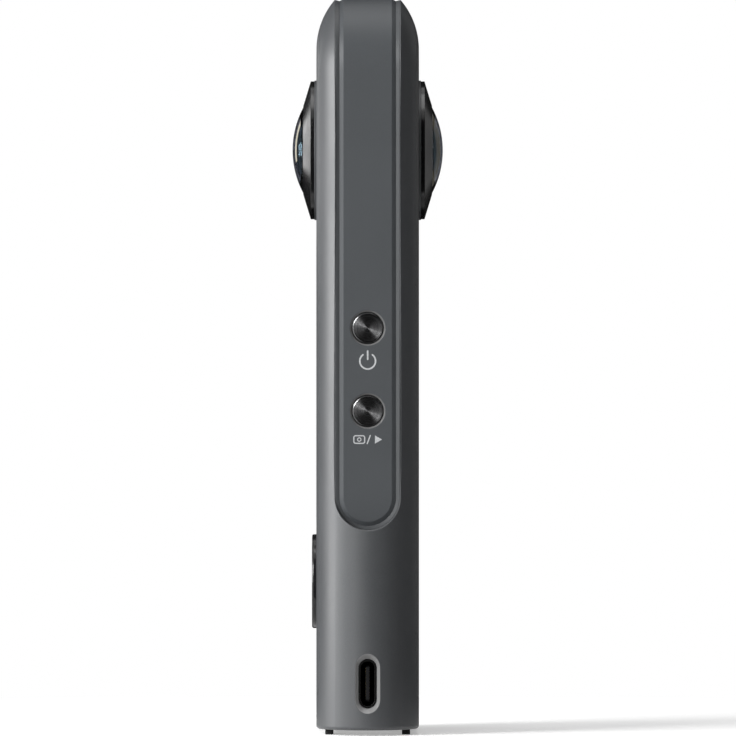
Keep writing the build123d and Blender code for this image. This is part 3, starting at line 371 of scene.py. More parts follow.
def moulded_plastic(name, colour, roughness, grain, depth, level=0.5, cut_mask=None, cut_edge_highlight_tone=0.2):
    """Moulded plastic: fine grain, slow drifts of tone, and edges rubbed a little lighter and smoother.

    A mask may mark edges that were cut after moulding: they are polished smoother, and their lighter colour
    is a painted highlight.
    """
    made = Finish(name, Specular_IOR_Level=level)
    texture = made.group(GRAIN, Grain=grain)
    edges = made.group(WEAR, Reach=SHELL_WEAR_REACH)
    mottled = made.colour(texture["Drift"], darker(colour, 0.93), darker(colour, 1.05))
    speckled = made.colour(texture["Speckle"], mottled, darker(colour, 1.09))
    shade = made.colour(edges["Wear"], speckled, darker(colour, 1.6))
    drift = made.between(texture["Drift"], roughness - 0.03, roughness + 0.04)
    rubbed = times(made.tree, edges["Wear"], 0.12)
    if cut_mask is not None:
        cut = cut_mask(made)
        # Painted highlight: the cut edges are painted lighter. Their lower roughness, below, is real polish.
        polished = made.colour(texture["Drift"], grey(cut_edge_highlight_tone), grey(cut_edge_highlight_tone * 1.15))
        shade = made.colour(cut, shade, polished)
        rubbed = maths(made.tree, "MULTIPLY_ADD", cut, 0.2, rubbed)
    return made.done(shade, maths(made.tree, "SUBTRACT", drift, rubbed),
                     made.bump(texture["Height"], depth, edges["Normal"]))


def polished_plastic(name, colour, roughness, haze):
    """Polished black plastic: finger haze and specks of dust on a smooth face."""
    made = Finish(name)
    handled = made.group(HANDLING)
    edges = made.group(WEAR, Reach=POLISHED_WEAR_REACH)
    texture = made.group(GRAIN, Grain=900.0)
    dusty = made.colour(handled["Dust"], colour, grey(0.16))
    shade = made.colour(edges["Wear"], dusty, grey(0.05))
    dull = made.between(handled["Haze"], roughness, roughness + haze)
    dull = maths(made.tree, "MULTIPLY_ADD", handled["Dust"], 0.3, dull, clamp=True)
    return made.done(shade, dull, made.bump(texture["Height"], 0.4e-6, edges["Normal"]))


def display_glass_finish():
    """Polished cover glass, black printed border, with the sleeping display just visible behind it."""
    made = Finish("display cover glass", Specular_IOR_Level=0.4)
    tree = made.tree
    handled = made.group(HANDLING)
    edges = made.group(WEAR, Reach=METAL_WEAR_REACH)
    parts = parts_of(tree, made.around(panel_centre))
    across = maths(tree, "ABSOLUTE", parts[0])
    up = maths(tree, "ABSOLUTE", parts[2])
    inside_x = spread(tree, across, LIT_HALF_WIDTH, LIT_HALF_WIDTH - LIT_EDGE)
    inside_z = spread(tree, up, LIT_HALF_HEIGHT, LIT_HALF_HEIGHT - LIT_EDGE)
    lit_area = times(tree, inside_x, inside_z)
    rows = made.noise(60.0, 2.0)
    sleeping = made.colour(rows, tone(0.0105, 0.0115, 0.0145), tone(0.0125, 0.0135, 0.0165))
    shade = made.colour(lit_area, tone(0.0045, 0.0045, 0.005), sleeping)
    shade = made.colour(handled["Dust"], shade, grey(0.12))
    dull = made.between(handled["Haze"], 0.07, 0.09)
    return made.done(made.colour(edges["Wear"], shade, grey(0.03)), dull, edges["Normal"])


def coated_glass_finish(name, tint, film, roughness, depth):
    """Clear coated glass, with a thin film's reflection. Its blackened rim darkens it from the side."""
    made = Finish(name, Transmission_Weight=1.0, IOR=1.52, Thin_Film_Thickness=film, Thin_Film_IOR=1.38)
    handled = made.group(HANDLING)
    clear = made.colour(handled["Haze"], tint, darker(tint, 0.985))
    aslant = put(made.tree, "ShaderNodeLayerWeight", Blend=0.5).outputs["Facing"]
    dark_rim = spread(made.tree, aslant, 0.25, 0.72, 0.0, depth)
    shade = made.colour(dark_rim, clear, tone(0.012, 0.013, 0.017))
    dull = made.between(handled["Haze"], roughness, roughness + 0.02)
    texture = made.group(GRAIN, Grain=250.0)
    return made.done(shade, dull, made.bump(texture["Height"], 0.1e-6))


def spun_key_finish():
    """Black metal keys, spun round their own axis, with lines fine enough to fan the light."""
    made = Finish("black spun key metal", Metallic=1.0, Anisotropic=0.96, Anisotropic_Rotation=0.25)
    tree = made.tree
    parts = parts_of(tree, made.place)
    from_centre = from_nearer_key(tree, parts)
    facing = put(tree, "ShaderNodeCombineXYZ", X=parts[1], Y=from_centre, Z=parts[0])
    rings = made.group(RINGS, facing.outputs[0], Rings=9000.0)
    edges = made.group(WEAR, Reach=POLISHED_WEAR_REACH)
    shade = made.colour(rings["Tone"], tone(0.2, 0.2, 0.204), tone(0.3, 0.3, 0.305))
    shade = made.colour(edges["Wear"], shade, grey(0.4))
    round_axis = put(tree, "ShaderNodeTangent", {"direction_type": "RADIAL", "axis": "X"}).outputs[0]
    return made.done(shade, made.uneven(rings["Height"], 0.22, 0.32),
                     made.bump(rings["Height"], 1.2e-6, edges["Normal"]), Tangent=round_axis)


def turned_metal(name, colour, roughness, centre=(0, 0, 0), turn=(0, 0, 0), metallic=1.0, worn=2.0):
    """Metal from the lathe, with rings round its axis."""
    made = Finish(name, Metallic=metallic)
    lathe = made.group(RINGS, made.around(centre, turn), Rings=5000.0)
    edges = made.group(WEAR, Reach=METAL_WEAR_REACH)
    shade = made.colour(lathe["Tone"], darker(colour, 0.86), darker(colour, 1.12))
    shade = made.colour(edges["Wear"], shade, darker(colour, worn))
    return made.done(shade, made.uneven(lathe["Height"], roughness - 0.06, roughness + 0.06),
                     made.bump(lathe["Height"], 1.5e-6, edges["Normal"]))


def sheet_metal(name, colour, roughness, worn=1.3):
    """Rolled or stamped sheet metal, with fine lines along the way it was drawn."""
    made = Finish(name, Metallic=1.0, Anisotropic=0.4)
    lined = made.group(BRUSHED, Lines=4500.0)
    edges = made.group(WEAR, Reach=POLISHED_WEAR_REACH)
    shade = made.colour(lined["Tone"], darker(colour, 0.88), darker(colour, 1.08))
    shade = made.colour(edges["Wear"], shade, darker(colour, worn))
    return made.done(shade, made.uneven(lined["Height"], roughness - 0.08, roughness + 0.08),
                     made.bump(lined["Height"], 1.5e-6, edges["Normal"]))


def cast_metal_finish():
    """Die cast light metal as it comes from the mould, with flow marks and tiny pits."""
    made = Finish("cast chassis metal", Metallic=1.0)
    texture = made.group(GRAIN, Grain=2200.0)
    edges = made.group(WEAR, Reach=CAST_WEAR_REACH)
    flow = made.noise(140.0, 5.0, Distortion=1.8)
    marks = spread(made.tree, flow, 0.35, 0.65)
    shade = made.colour(marks, tone(0.42, 0.43, 0.45), tone(0.58, 0.59, 0.6))
    shade = made.colour(edges["Wear"], shade, grey(0.72))
    return made.done(shade, made.between(marks, 0.5, 0.38),
                     made.bump(texture["Height"], 8e-6, edges["Normal"]))


def rubber_finish():
    """Matt black rubber, with a dusty bloom and fine pores."""
    made = Finish("matt black rubber", Specular_IOR_Level=0.3)
    texture = made.group(GRAIN, Grain=5200.0)
    handled = made.group(HANDLING)
    shade = made.colour(texture["Drift"], tone(0.014, 0.014, 0.0145), tone(0.026, 0.026, 0.0265))
    shade = made.colour(handled["Dust"], shade, grey(0.11))
    return made.done(shade, made.between(texture["Drift"], 0.72, 0.86), made.bump(texture["Height"], 5e-6))


def foam_tape_finish():
    """Black foam tape with open cells, whose walls are painted lighter and hollows darker as painted light
    and shade.
    """
    made = Finish("black foam tape", Specular_IOR_Level=0.25)
    cells = put(made.tree, "ShaderNodeTexVoronoi", {"feature": "DISTANCE_TO_EDGE"}, Vector=made.place,
                Scale=4200.0)
    walls = spread(made.tree, cells.outputs[0], 0.0, 0.25)
    # Painted light and shade: the cell walls are painted lighter and the sunk hollows darker.
    return made.done(made.colour(walls, grey(0.04), grey(0.012)), made.between(walls, 0.7, 0.9),
                     made.bump(walls, -12e-6))


def circuit_board_finish():
    """Green solder mask over copper: tracks that run square to each other, and rings of gilt vias."""
    made = Finish("green solder mask", Specular_IOR_Level=0.5, Coat_Weight=0.35, Coat_Roughness=0.18)
    tree = made.tree
    bent = put(tree, "ShaderNodeTexVoronoi", {"distance": "CHEBYCHEV"}, Vector=made.place, Scale=560.0)
    tracks = spread(tree, maths(tree, "PINGPONG", bent.outputs["Distance"], 0.11), 0.03, 0.045)
    vias = put(tree, "ShaderNodeTexVoronoi", Vector=made.place, Scale=640.0)
    outside_hole = spread(tree, vias.outputs["Distance"], 0.05, 0.07)
    pads = times(tree, spread(tree, vias.outputs["Distance"], 0.17, 0.14), outside_hole)
    texture = made.group(GRAIN, Grain=2600.0)
    mask = made.colour(tracks, tone(0.012, 0.085, 0.04), tone(0.025, 0.16, 0.07))
    mask = made.colour(texture["Drift"], mask, tone(0.016, 0.11, 0.05))
    return made.done(made.colour(pads, mask, VIA_TONE), made.between(texture["Speckle"], 0.3, 0.42),
                     made.bump(maths(tree, "MAXIMUM", tracks, pads), 12e-6),
                     Metallic=times(tree, pads, 0.9))


def sensor_finish():
    """The image sensor: a dark face that shifts in colour over a fine grid of cells."""
    made = Finish("image sensor face", Specular_IOR_Level=0.8, Coat_Weight=0.6, Coat_Roughness=0.03,
                  Thin_Film_Thickness=420.0, Thin_Film_IOR=1.6)
    tree = made.tree
    parts = parts_of(tree, made.place)
    across = maths(tree, "PINGPONG", parts[1], SENSOR_CELL)
    up = maths(tree, "PINGPONG", parts[2], SENSOR_CELL)
    cells = spread(tree, times(tree, across, up), 0.0, 5e-10)
    swirl = made.noise(180.0, 2.0)
    shade = made.colour(swirl, tone(0.015, 0.02, 0.06), tone(0.05, 0.02, 0.055))
    return made.done(made.colour(cells, darker(tone(0.01, 0.012, 0.03), 0.6), shade),
                     made.between(cells, 0.3, 0.14), made.bump(cells, 1e-6))


def copper_finish():
    """Copper foil, rolled, with a few spots of tarnish."""
    made = Finish("rolled copper foil", Metallic=1.0)
    lined = made.group(BRUSHED, Lines=3800.0)
    spots = made.noise(240.0, 6.0, Roughness=0.65)
    tarnish = spread(made.tree, spots, 0.52, 0.68)
    shade = made.colour(lined["Tone"], tone(0.6, 0.31, 0.19), tone(0.76, 0.43, 0.28))
    return made.done(made.colour(tarnish, shade, tone(0.34, 0.17, 0.11)), made.between(tarnish, 0.24, 0.5),
                     made.bump(lined["Height"], 2e-6))


def battery_wrap_finish():
    """The battery's dark plastic sleeve, with soft wrinkles where it is shrunk on."""
    made = Finish("battery sleeve", Specular_IOR_Level=0.45)
    creases = made.noise(130.0, 3.0, Distortion=2.2)
    texture = made.group(GRAIN, Grain=1800.0)
    shade = made.colour(texture["Drift"], tone(0.03, 0.031, 0.034), tone(0.048, 0.049, 0.053))
    return made.done(shade, made.uneven(creases, 0.28, 0.42), made.bump(creases, 40e-6))


def frosted_light_finish():
    """The frosted light guide of the status light."""
    made = Finish("frosted light guide", Transmission_Weight=0.6, IOR=1.49)
    texture = made.group(GRAIN, Grain=6000.0)
    return made.done(made.colour(texture["Speckle"], grey(0.62), grey(0.8)),
                     made.between(texture["Drift"], 0.45, 0.6), made.bump(texture["Height"], 3e-6))


def mark_paint_finish():
    """Pad printed light grey paint, a little thin at its edges."""
    made = Finish("light grey print", Specular_IOR_Level=0.35)
    texture = made.group(GRAIN, Grain=5200.0)
    edges = made.group(WEAR, Reach=PRINT_WEAR_REACH)
    shade = made.colour(texture["Speckle"], tone(0.40, 0.41, 0.42), tone(0.52, 0.53, 0.54))
    return made.done(made.colour(edges["Wear"], shade, grey(0.3)),
                     made.between(texture["Drift"], 0.5, 0.62), made.bump(texture["Height"], 1.5e-6))


def gold_contact_finish():
    """Gold plated contacts, with the fine lines that plugs leave."""
    made = Finish("gold plated contact", Metallic=1.0)
    lined = made.group(BRUSHED, Lines=9000.0)
    shade = made.colour(lined["Tone"], tone(0.78, 0.55, 0.22), tone(0.93, 0.7, 0.33))
    return made.done(shade, made.uneven(lined["Height"], 0.18, 0.34), made.bump(lined["Height"], 1e-6))


lens_turn = (QUARTER, 0, 0)
lens_axis = (0, 0, front_lens_centre.z)

# A moulded plastic is given its colour, its roughness, the grains in a metre and the grain's depth
finishes = {
    # The socket mouth on the housing and the key hole edges on the band carry a painted highlight: their cut
    # edges are painted lighter.
    "housing": moulded_plastic("satin grey shell plastic", tone(0.068, 0.071, 0.075), 0.38, 5200.0, 5e-6,
                               level=0.45, cut_mask=socket_mouth_mask),
    "band": moulded_plastic("fine matt band plastic", tone(0.06, 0.065, 0.07), 0.46, 6800.0, 4e-6,
                            level=0.33, cut_mask=key_mouth_mask, cut_edge_highlight_tone=0.12),
    "door": moulded_plastic("fine matt door plastic", tone(0.06, 0.065, 0.07), 0.46, 6600.0, 4e-6,
                            level=0.33),
    "slider": moulded_plastic("ribbed slider plastic", tone(0.045, 0.047, 0.05), 0.44, 4800.0, 4e-6),
    "bezel": polished_plastic("black bezel plastic", tone(0.006, 0.006, 0.0065), 0.16, 0.08),
    "lens_glass": coated_glass_finish("coated lens glass", tone(0.9, 0.93, 0.96), 310.0, 0.01, 1.0),
    "prism_glass": coated_glass_finish("polished prism glass", tone(0.95, 0.98, 0.99), 0.0, 0.02, 0.2),
    "barrel": turned_metal("black anodised barrel metal", tone(0.018, 0.018, 0.02), 0.42, lens_axis,
                           lens_turn, metallic=0.6),
    "key": spun_key_finish(),
    "shutter_ring": polished_plastic("black shutter ring plastic", tone(0.012, 0.012, 0.013), 0.14, 0.08),
    "shutter_button": moulded_plastic("matt shutter button plastic", tone(0.05, 0.052, 0.056), 0.48, 5600.0,
                                      4e-6),
    "display_glass": display_glass_finish(),
    "display_panel": polished_plastic("dark display panel", tone(0.012, 0.013, 0.018), 0.1, 0.06),
    "adhesive": foam_tape_finish(),
    "socket_metal": sheet_metal("stamped socket steel", tone(0.5, 0.5, 0.51), 0.3),
    "socket_shell": sheet_metal("black nickel shell", tone(0.03, 0.0295, 0.029), 0.36, worn=2.0),
    "tongue": moulded_plastic("black socket tongue plastic", tone(0.007, 0.007, 0.0075), 0.5, 6200.0, 3e-6,
                              level=0.25),
    "screw_metal": turned_metal("black zinc screw metal", tone(0.07, 0.07, 0.074), 0.38, worn=3.0),
    "rubber": rubber_finish(),
    "board": circuit_board_finish(),
    "chip": moulded_plastic("black chip package", tone(0.022, 0.022, 0.024), 0.55, 3800.0, 5e-6),
    "sensor": sensor_finish(),
    "chassis_metal": cast_metal_finish(),
    "copper": copper_finish(),
    "battery": battery_wrap_finish(),
    "tray": moulded_plastic("black tray plastic", tone(0.024, 0.024, 0.026), 0.5, 4200.0, 6e-6),
    "card": moulded_plastic("memory card plastic", tone(0.02, 0.02, 0.021), 0.42, 4600.0, 4e-6),
    "light": frosted_light_finish(),
}
mark_paint = mark_paint_finish()
contact_gold = gold_contact_finish()
seal_plastic = moulded_plastic("grey sealing bead", tone(0.066, 0.07, 0.074), 0.44, 5000.0, 3e-6, level=0.35)


def dress_frame():
    """Gives every CAD node the finish of its own slot."""
    slot_of = {part["node"]: part["material_slot"] for part in frame["record"]["subparts"]}
    for name, piece in frame["nodes"].items():
        for holder in piece.material_slots:
            holder.material = finishes[slot_of[name]]


# Pieces

def new_object(name, data):
    made = bpy.data.objects.new(name, data)
    bpy.context.scene.collection.objects.link(made)
    return made


def placed(name, mesh, finish, body):
    """Makes a piece from a mesh, gives it its finish, and puts it on its body."""
    piece = new_object(name, mesh)
    mesh.materials.clear()
    mesh.materials.append(finish)
    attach(piece, body)
    return piece


def finished_piece(name, build, finish, body):
    """Makes a piece from a bmesh."""
    bmesh.ops.recalc_face_normals(build, faces=build.faces)
    mesh = bpy.data.meshes.new(name)
    build.to_mesh(mesh)
    build.free()
    return placed(name, mesh, finish, body)


# Printed marks, whose outlines lie on the band's face and are given as Y and Z

PRINT_THICKNESS = 0.02 * MM
PRINT_SUNK = 0.01 * MM
PRINT_FRONT_X = band_face_x + PRINT_THICKNESS
PRINT_BACK_X = band_face_x - PRINT_SUNK
ROUND_END_STEPS = 8
POWER_LINE = 0.3 * MM
POWER_MARK_Z = 69.0 * MM
POWER_RING_RADIUS = 1.45 * MM
POWER_RING_START = -233
POWER_RING_END = 53
POWER_BAR_BOTTOM = 0.35 * MM
POWER_BAR_TOP = 1.85 * MM
MODE_LINE = 0.22 * MM
MODE_MARK_Y = 0.2 * MM
MODE_MARK_Z = 54.55 * MM
MODE_FRAME_LEFT = 1.75 * MM
MODE_FRAME_WIDTH = 2.0 * MM
MODE_FRAME_HEIGHT = 1.4 * MM
MODE_FRAME_CORNER = 0.35 * MM
MODE_RING_RADIUS = 0.32 * MM
MODE_RING_LINE = 0.18 * MM
MODE_SLASH_REACH = 0.28 * MM
MODE_HALF_HEIGHT = 0.75 * MM
MODE_TRIANGLE_RIGHT = 1.15 * MM
MODE_TRIANGLE_LENGTH = 1.3 * MM


def add_print(build, outline):
    """Adds a flat shape inside an outline, made solid."""
    front = [build.verts.new((PRINT_FRONT_X, y, z)) for y, z in outline]
    back = [build.verts.new((PRINT_BACK_X, y, z)) for y, z in outline]
    count = len(outline)
    build.faces.new(front)
    build.faces.new(back[::-1])
    for number in range(count):
        after = (number + 1) % count
        build.faces.new((front[number], back[number], back[after], front[after]))


def add_strip(build, points, width, closed=False):
    """Adds a line of even width along points, with round ends when it is open."""
    half = width / 2
    count = len(points)
    rows = []
    for number, (y, z) in enumerate(points):
        before = points[number - 1] if closed or number else points[number]
        after = points[(number + 1) % count] if closed or number < count - 1 else points[number]
        run_y, run_z = after[0] - before[0], after[1] - before[1]
        length = sqrt(run_y ** 2 + run_z ** 2)
        out_y, out_z = -run_z / length * half, run_y / length * half
        rows.append(((y + out_y, z + out_z), (y - out_y, z - out_z)))
    if not closed:
        left = [row[0] for row in rows]
        right = [row[1] for row in rows]
        far_end = round_end(points[-1], right[-1], half)
        near_end = round_end(points[0], left[0], half)
        add_print(build, right + far_end + left[::-1] + near_end)
        return
    rings = []
    for x in (PRINT_FRONT_X, PRINT_BACK_X):
        rings.append([[build.verts.new((x, y, z)) for y, z in row] for row in rows])
    front, back = rings
    for number in range(count):
        after = (number + 1) % count
        build.faces.new((front[number][0], front[number][1], front[after][1], front[after][0]))
        build.faces.new((back[number][1], back[number][0], back[after][0], back[after][1]))
        for side in (0, 1):
            loop = (front[number][side], front[after][side], back[after][side], back[number][side])
            build.faces.new(loop if side == 0 else loop[::-1])


def arc_points(centre, radius, start, end, steps):
    turns = [radians(start + (end - start) * step / steps) for step in range(steps + 1)]
    return [(centre[0] + radius * cos(turn), centre[1] + radius * sin(turn)) for turn in turns]


def round_end(centre, start, radius):
    """The points of a half circle that goes round one end of a strip, without its two ends."""
    angle = atan2(start[1] - centre[1], start[0] - centre[0])
    turns = [angle + pi * step / ROUND_END_STEPS for step in range(1, ROUND_END_STEPS)]
    return [(centre[0] + radius * cos(turn), centre[1] + radius * sin(turn)) for turn in turns]


def rounded_frame(centre_y, centre_z, width, height, radius):
    """Points round a rectangle with round corners."""
    points = []
    corners = ((1, 1, 0), (-1, 1, 90), (-1, -1, 180), (1, -1, 270))
    for side_y, side_z, start in corners:
        corner = (centre_y + side_y * (width / 2 - radius), centre_z + side_z * (height / 2 - radius))
        points += arc_points(corner, radius, start, start + 90, 6)
    return points


def power_mark():
    """The common on and off mark above the power key: an open ring with a short upright bar."""
    build = bmesh.new()
    ring = arc_points((0.0, POWER_MARK_Z), POWER_RING_RADIUS, POWER_RING_START, POWER_RING_END, 60)
    add_strip(build, ring, POWER_LINE)
    bar = [(0.0, POWER_MARK_Z + height) for height in (POWER_BAR_BOTTOM, POWER_BAR_TOP)]
    add_strip(build, bar, POWER_LINE)
    finished_piece("power_mark", build, mark_paint, "root")


def mode_mark():
    """A plain mark below the mode key for stills and video: a small frame, a slash and a triangle."""
    y, z = MODE_MARK_Y, MODE_MARK_Z
    bottom, top = z - MODE_HALF_HEIGHT, z + MODE_HALF_HEIGHT
    frame_y = y - MODE_FRAME_LEFT
    left = y + MODE_TRIANGLE_RIGHT
    build = bmesh.new()
    outline = rounded_frame(frame_y, z, MODE_FRAME_WIDTH, MODE_FRAME_HEIGHT, MODE_FRAME_CORNER)
    add_strip(build, outline, MODE_LINE, closed=True)
    add_strip(build, arc_points((frame_y, z), MODE_RING_RADIUS, 0, 345, 23), MODE_RING_LINE, closed=True)
    add_strip(build, [(y - MODE_SLASH_REACH, bottom), (y + MODE_SLASH_REACH, top)], MODE_LINE)
    add_print(build, [(left, top), (left, bottom), (left + MODE_TRIANGLE_LENGTH, z)])
    finished_piece("mode_mark", build, mark_paint, "root")


# The bead that seals the narrow gap round the band

# Its section in millimetres: how far away from the band's edge, and how far outwards
SEAL_PROFILE = [(0.14, 0.53), (0.09, 0.526), (-0.52, 0.36), (-0.6, 0.338), (-0.6, 0.26), (0.0, -0.1),
                (0.14, -0.1)]
SAME_POINT = 0.002 * MM
FLAT_WALL_REACH = 0.006 * MM
ROUND_WALL_REACH = 0.012 * MM
BODY_MIDDLE_Z = 60 * MM


def outwards(place):
    """The way out to a place from the body's middle line, which runs along Y."""
    return Vector((place.x, 0, place.z - BODY_MIDDLE_Z))


def band_outline_edges(build, half, round_centre_z):
    """The edges where the band's bevel meets its outer side walls, and those walls."""
    def on_outline(place):
        if place.z >= round_centre_z:
            return abs(abs(place.y) - half) < FLAT_WALL_REACH
        return abs(sqrt(place.y ** 2 + (place.z - round_centre_z) ** 2) - half) < ROUND_WALL_REACH

    walls = set()
    for face in build.faces:
        upright = face.calc_center_median().z >= round_centre_z
        squared = abs(face.normal.y) > 0.99 if upright else abs(face.normal.x) < 0.05
        if squared and all(on_outline(vert.co) for vert in face.verts):
            walls.add(face)
    edges = []
    for edge in build.edges:
        others = [face for face in edge.link_faces if face not in walls]
        if len(edge.link_faces) == 2 and len(others) == 1:
            middle = (edge.verts[0].co + edge.verts[1].co) / 2
            if others[0].normal.dot(outwards(middle)) > 0:
                edges.append(edge)
    return edges, walls


def band_loop():
    """The points along the band's outer edge in their order, each with the way that faces the recess."""
    low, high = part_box("side_band")
    build = bmesh.new()
    build.from_mesh(frame["nodes"]["side_band"].data)
    bmesh.ops.remove_doubles(build, verts=build.verts, dist=SAME_POINT)
    edges, walls = band_outline_edges(build, high.y, low.z + high.y)
    left = set(edges)
    here = edges[0].verts[0]
    loop = []
    while True:
        onward = [edge for edge in here.link_edges if edge in left]
        if not onward:
            break
        away = Vector()
        for face in here.link_faces:
            if face in walls:
                away += face.normal
        loop.append((here.co.copy(), away.normalized()))
        left.discard(onward[0])
        here = onward[0].other_vert(here)
    build.free()
    return loop


def band_seal():
    """The bead in the valley between the recess's edge and the band's bevel, all the way round."""
    loop = band_loop()
    count = len(loop)
    build = bmesh.new()
    rows = []
    for number, (place, away) in enumerate(loop):
        run = loop[(number + 1) % count][0] - loop[number - 1][0]
        out = run.cross(away).normalized()
        if out.dot(outwards(place)) < 0:
            out = -out
        section = [place + away * (side * MM) + out * (rise * MM) for side, rise in SEAL_PROFILE]
        rows.append([build.verts.new(point) for point in section])
    corners = len(SEAL_PROFILE)
    for number in range(count):
        after = rows[(number + 1) % count]
        for corner in range(corners):
            further = (corner + 1) % corners
            build.faces.new((rows[number][corner], rows[number][further], after[further], after[corner]))
    finished_piece("band_seal", build, seal_plastic, "root")


# Tripod socket with its cut thread

THREAD_PITCH = 1.27 * MM
THREAD_CREST = 2.55 * MM
THREAD_ROOT = 3.1 * MM
THREAD_SLOPE = 2.6
THREAD_FLAT = 0.55
THREAD_STEPS = 12
THREAD_SIDES = 72
SOCKET_RADIUS = 4.2 * MM
SOCKET_FLANGE_LOW = 2.2 * MM
SOCKET_FLANGE_HIGH = 3.2 * MM
SOCKET_BORE_DEPTH = 5.4 * MM
SOCKET_TOP_BEVEL = 0.2 * MM
SOCKET_FLOOR_BEVEL = 0.1 * MM
SOCKET_MOUTH_BEVEL = 0.4 * MM
THREAD_RUN_IN = 0.4 * MM
THREAD_RUN_OUT = 0.5 * MM


def thread_radius(share, height, depth):
    """The radius of the thread at a share of a turn and a height in the bore: flat crests, flat roots."""
    phase = (height / THREAD_PITCH - share) % 1.0
    rise = min(max(abs(phase - 0.5) * THREAD_SLOPE - THREAD_FLAT, 0.0), 1.0)
    fade = min(height / THREAD_RUN_IN, (depth - height) / THREAD_RUN_OUT, 1.0)
    return THREAD_CREST + (THREAD_ROOT - THREAD_CREST) * rise * max(fade, 0.0)


def tripod_socket():
    """The steel socket in the base, its thread cut as one helix."""
    socket_low, socket_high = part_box("tripod_socket")
    floor_z = socket_low.z
    turns = [2 * pi * side / THREAD_SIDES for side in range(THREAD_SIDES)]
    flange_radius = socket_high.x
    rings = [(SOCKET_RADIUS - SOCKET_TOP_BEVEL, socket_high.z),
             (SOCKET_RADIUS, socket_high.z - SOCKET_TOP_BEVEL),
             (SOCKET_RADIUS, SOCKET_FLANGE_HIGH), (flange_radius, SOCKET_FLANGE_HIGH),
             (flange_radius, SOCKET_FLANGE_LOW), (SOCKET_RADIUS, SOCKET_FLANGE_LOW),
             (SOCKET_RADIUS, floor_z + SOCKET_FLOOR_BEVEL), (SOCKET_RADIUS - SOCKET_FLOOR_BEVEL, floor_z),
             (THREAD_CREST + SOCKET_MOUTH_BEVEL, floor_z)]
    build = bmesh.new()
    rows = []
    for radius, z in rings:
        rows.append([build.verts.new((radius * cos(t), radius * sin(t), z)) for t in turns])
    threaded = SOCKET_BORE_DEPTH - SOCKET_MOUTH_BEVEL
    steps = int(threaded / THREAD_PITCH * THREAD_STEPS)
    for step in range(steps + 1):
        height = threaded * step / steps
        z = floor_z + SOCKET_MOUTH_BEVEL + height
        row = []
        for side, t in enumerate(turns):
            radius = thread_radius(side / THREAD_SIDES, height, threaded)
            row.append(build.verts.new((radius * cos(t), radius * sin(t), z)))
        rows.append(row)
    for low, high in zip(rows, rows[1:]):
        for side in range(THREAD_SIDES):
            after = (side + 1) % THREAD_SIDES
            build.faces.new((low[side], low[after], high[after], high[side]))
    for row, z in ((rows[0], socket_high.z), (rows[-1], floor_z + SOCKET_BORE_DEPTH)):
        centre = build.verts.new((0, 0, z))
        for side in range(THREAD_SIDES):
            build.faces.new((row[side], row[(side + 1) % THREAD_SIDES], centre))
    steel = turned_metal("threaded socket steel", tone(0.42, 0.42, 0.43), 0.3, worn=1.5)
    piece = finished_piece("threaded_tripod_socket", build, steel, "root")
    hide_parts("tripod_socket")


# Repeated pieces, each from a tree with named inputs

CONTACT_COUNT = 12
CONTACT_PITCH = 0.5 * MM
CONTACT_LENGTH = 3.2 * MM
CONTACT_THICKNESS = 0.06 * MM
CONTACT_WIDTH = 0.27 * MM
CONTACT_SETBACK = 0.7 * MM
SCREEN_WIDTH = 9.7 * MM
SCREEN_HEIGHT = 0.86 * MM
SCREEN_PITCH = 0.2 * MM
SCREEN_WIRE = 0.045 * MM
SCREEN_SETBACK = 0.2 * MM
BAFFLE_COUNT = 4
BAFFLE_PITCH = 0.32 * MM
BAFFLE_RADIUS = 6.28 * MM
BAFFLE_RIDGE = 0.16 * MM
BAFFLE_SETBACK = 0.25 * MM
BAFFLE_NARROWING = 0.03
SMALL_PART = (0.9 * MM, 0.45 * MM, 0.5 * MM)
SMALL_PART_SUNK = 0.02 * MM
SMALL_PARTS_WIDTH = 20 * MM
SHIELD_CLEARANCE = 1.2 * MM
BOARD_CLEAR_BOTTOM = 5.5 * MM
BOARD_CLEAR_TOP = 8.5 * MM


def piece_tree(name, **inputs):
    """An empty Geometry Nodes tree with its named inputs, and its two end nodes."""
    return new_tree(name, "GeometryNodeTree", dict(inputs, Finish="NodeSocketMaterial"),
                    {"Geometry": "NodeSocketGeometry"})


def close_tree(tree, given, out, geometry):
    """Ends a tree in real geometry with its material."""
    real = put(tree, "GeometryNodeRealizeInstances", Geometry=geometry)
    dressed = put(tree, "GeometryNodeSetMaterial", Geometry=real.outputs[0], Material=given["Finish"])
    feed(tree, out["Geometry"], dressed.outputs[0])
    return tree


def grown_piece(name, tree, finish, body, slot, **values):
    """Runs a tree once with its inputs set, and keeps what it makes as a plain mesh."""
    holder = new_object(name + "_tree", bpy.data.meshes.new(name + "_tree"))
    modifier = holder.modifiers.new("tree", "NODES")
    modifier.node_group = tree
    given = dict(values, Finish=finish)
    for socket in tree.interface.items_tree:
        if socket.in_out == "INPUT":
            modifier[socket.identifier] = given[socket.name]
    depsgraph = bpy.context.evaluated_depsgraph_get()
    mesh = bpy.data.meshes.new_from_object(holder.evaluated_get(depsgraph), depsgraph=depsgraph)
    holder.modifiers.remove(modifier)
    bpy.data.objects.remove(holder)
    mesh.name = name
    placed(name, mesh, finish, body)


def offset_of(tree, **parts):
    """A vector from the parts that aren't zero."""
    return put(tree, "ShaderNodeCombineXYZ", **parts).outputs[0]


def half_back(tree, count, pitch):
    """How far back a row of things starts, so that its middle lies at zero."""
    return times(tree, times(tree, maths(tree, "SUBTRACT", count, 1.0), pitch), -0.5)


def repeated(tree, points, thing, **values):
    return put(tree, "GeometryNodeInstanceOnPoints", Points=points, Instance=thing, **values).outputs[0]


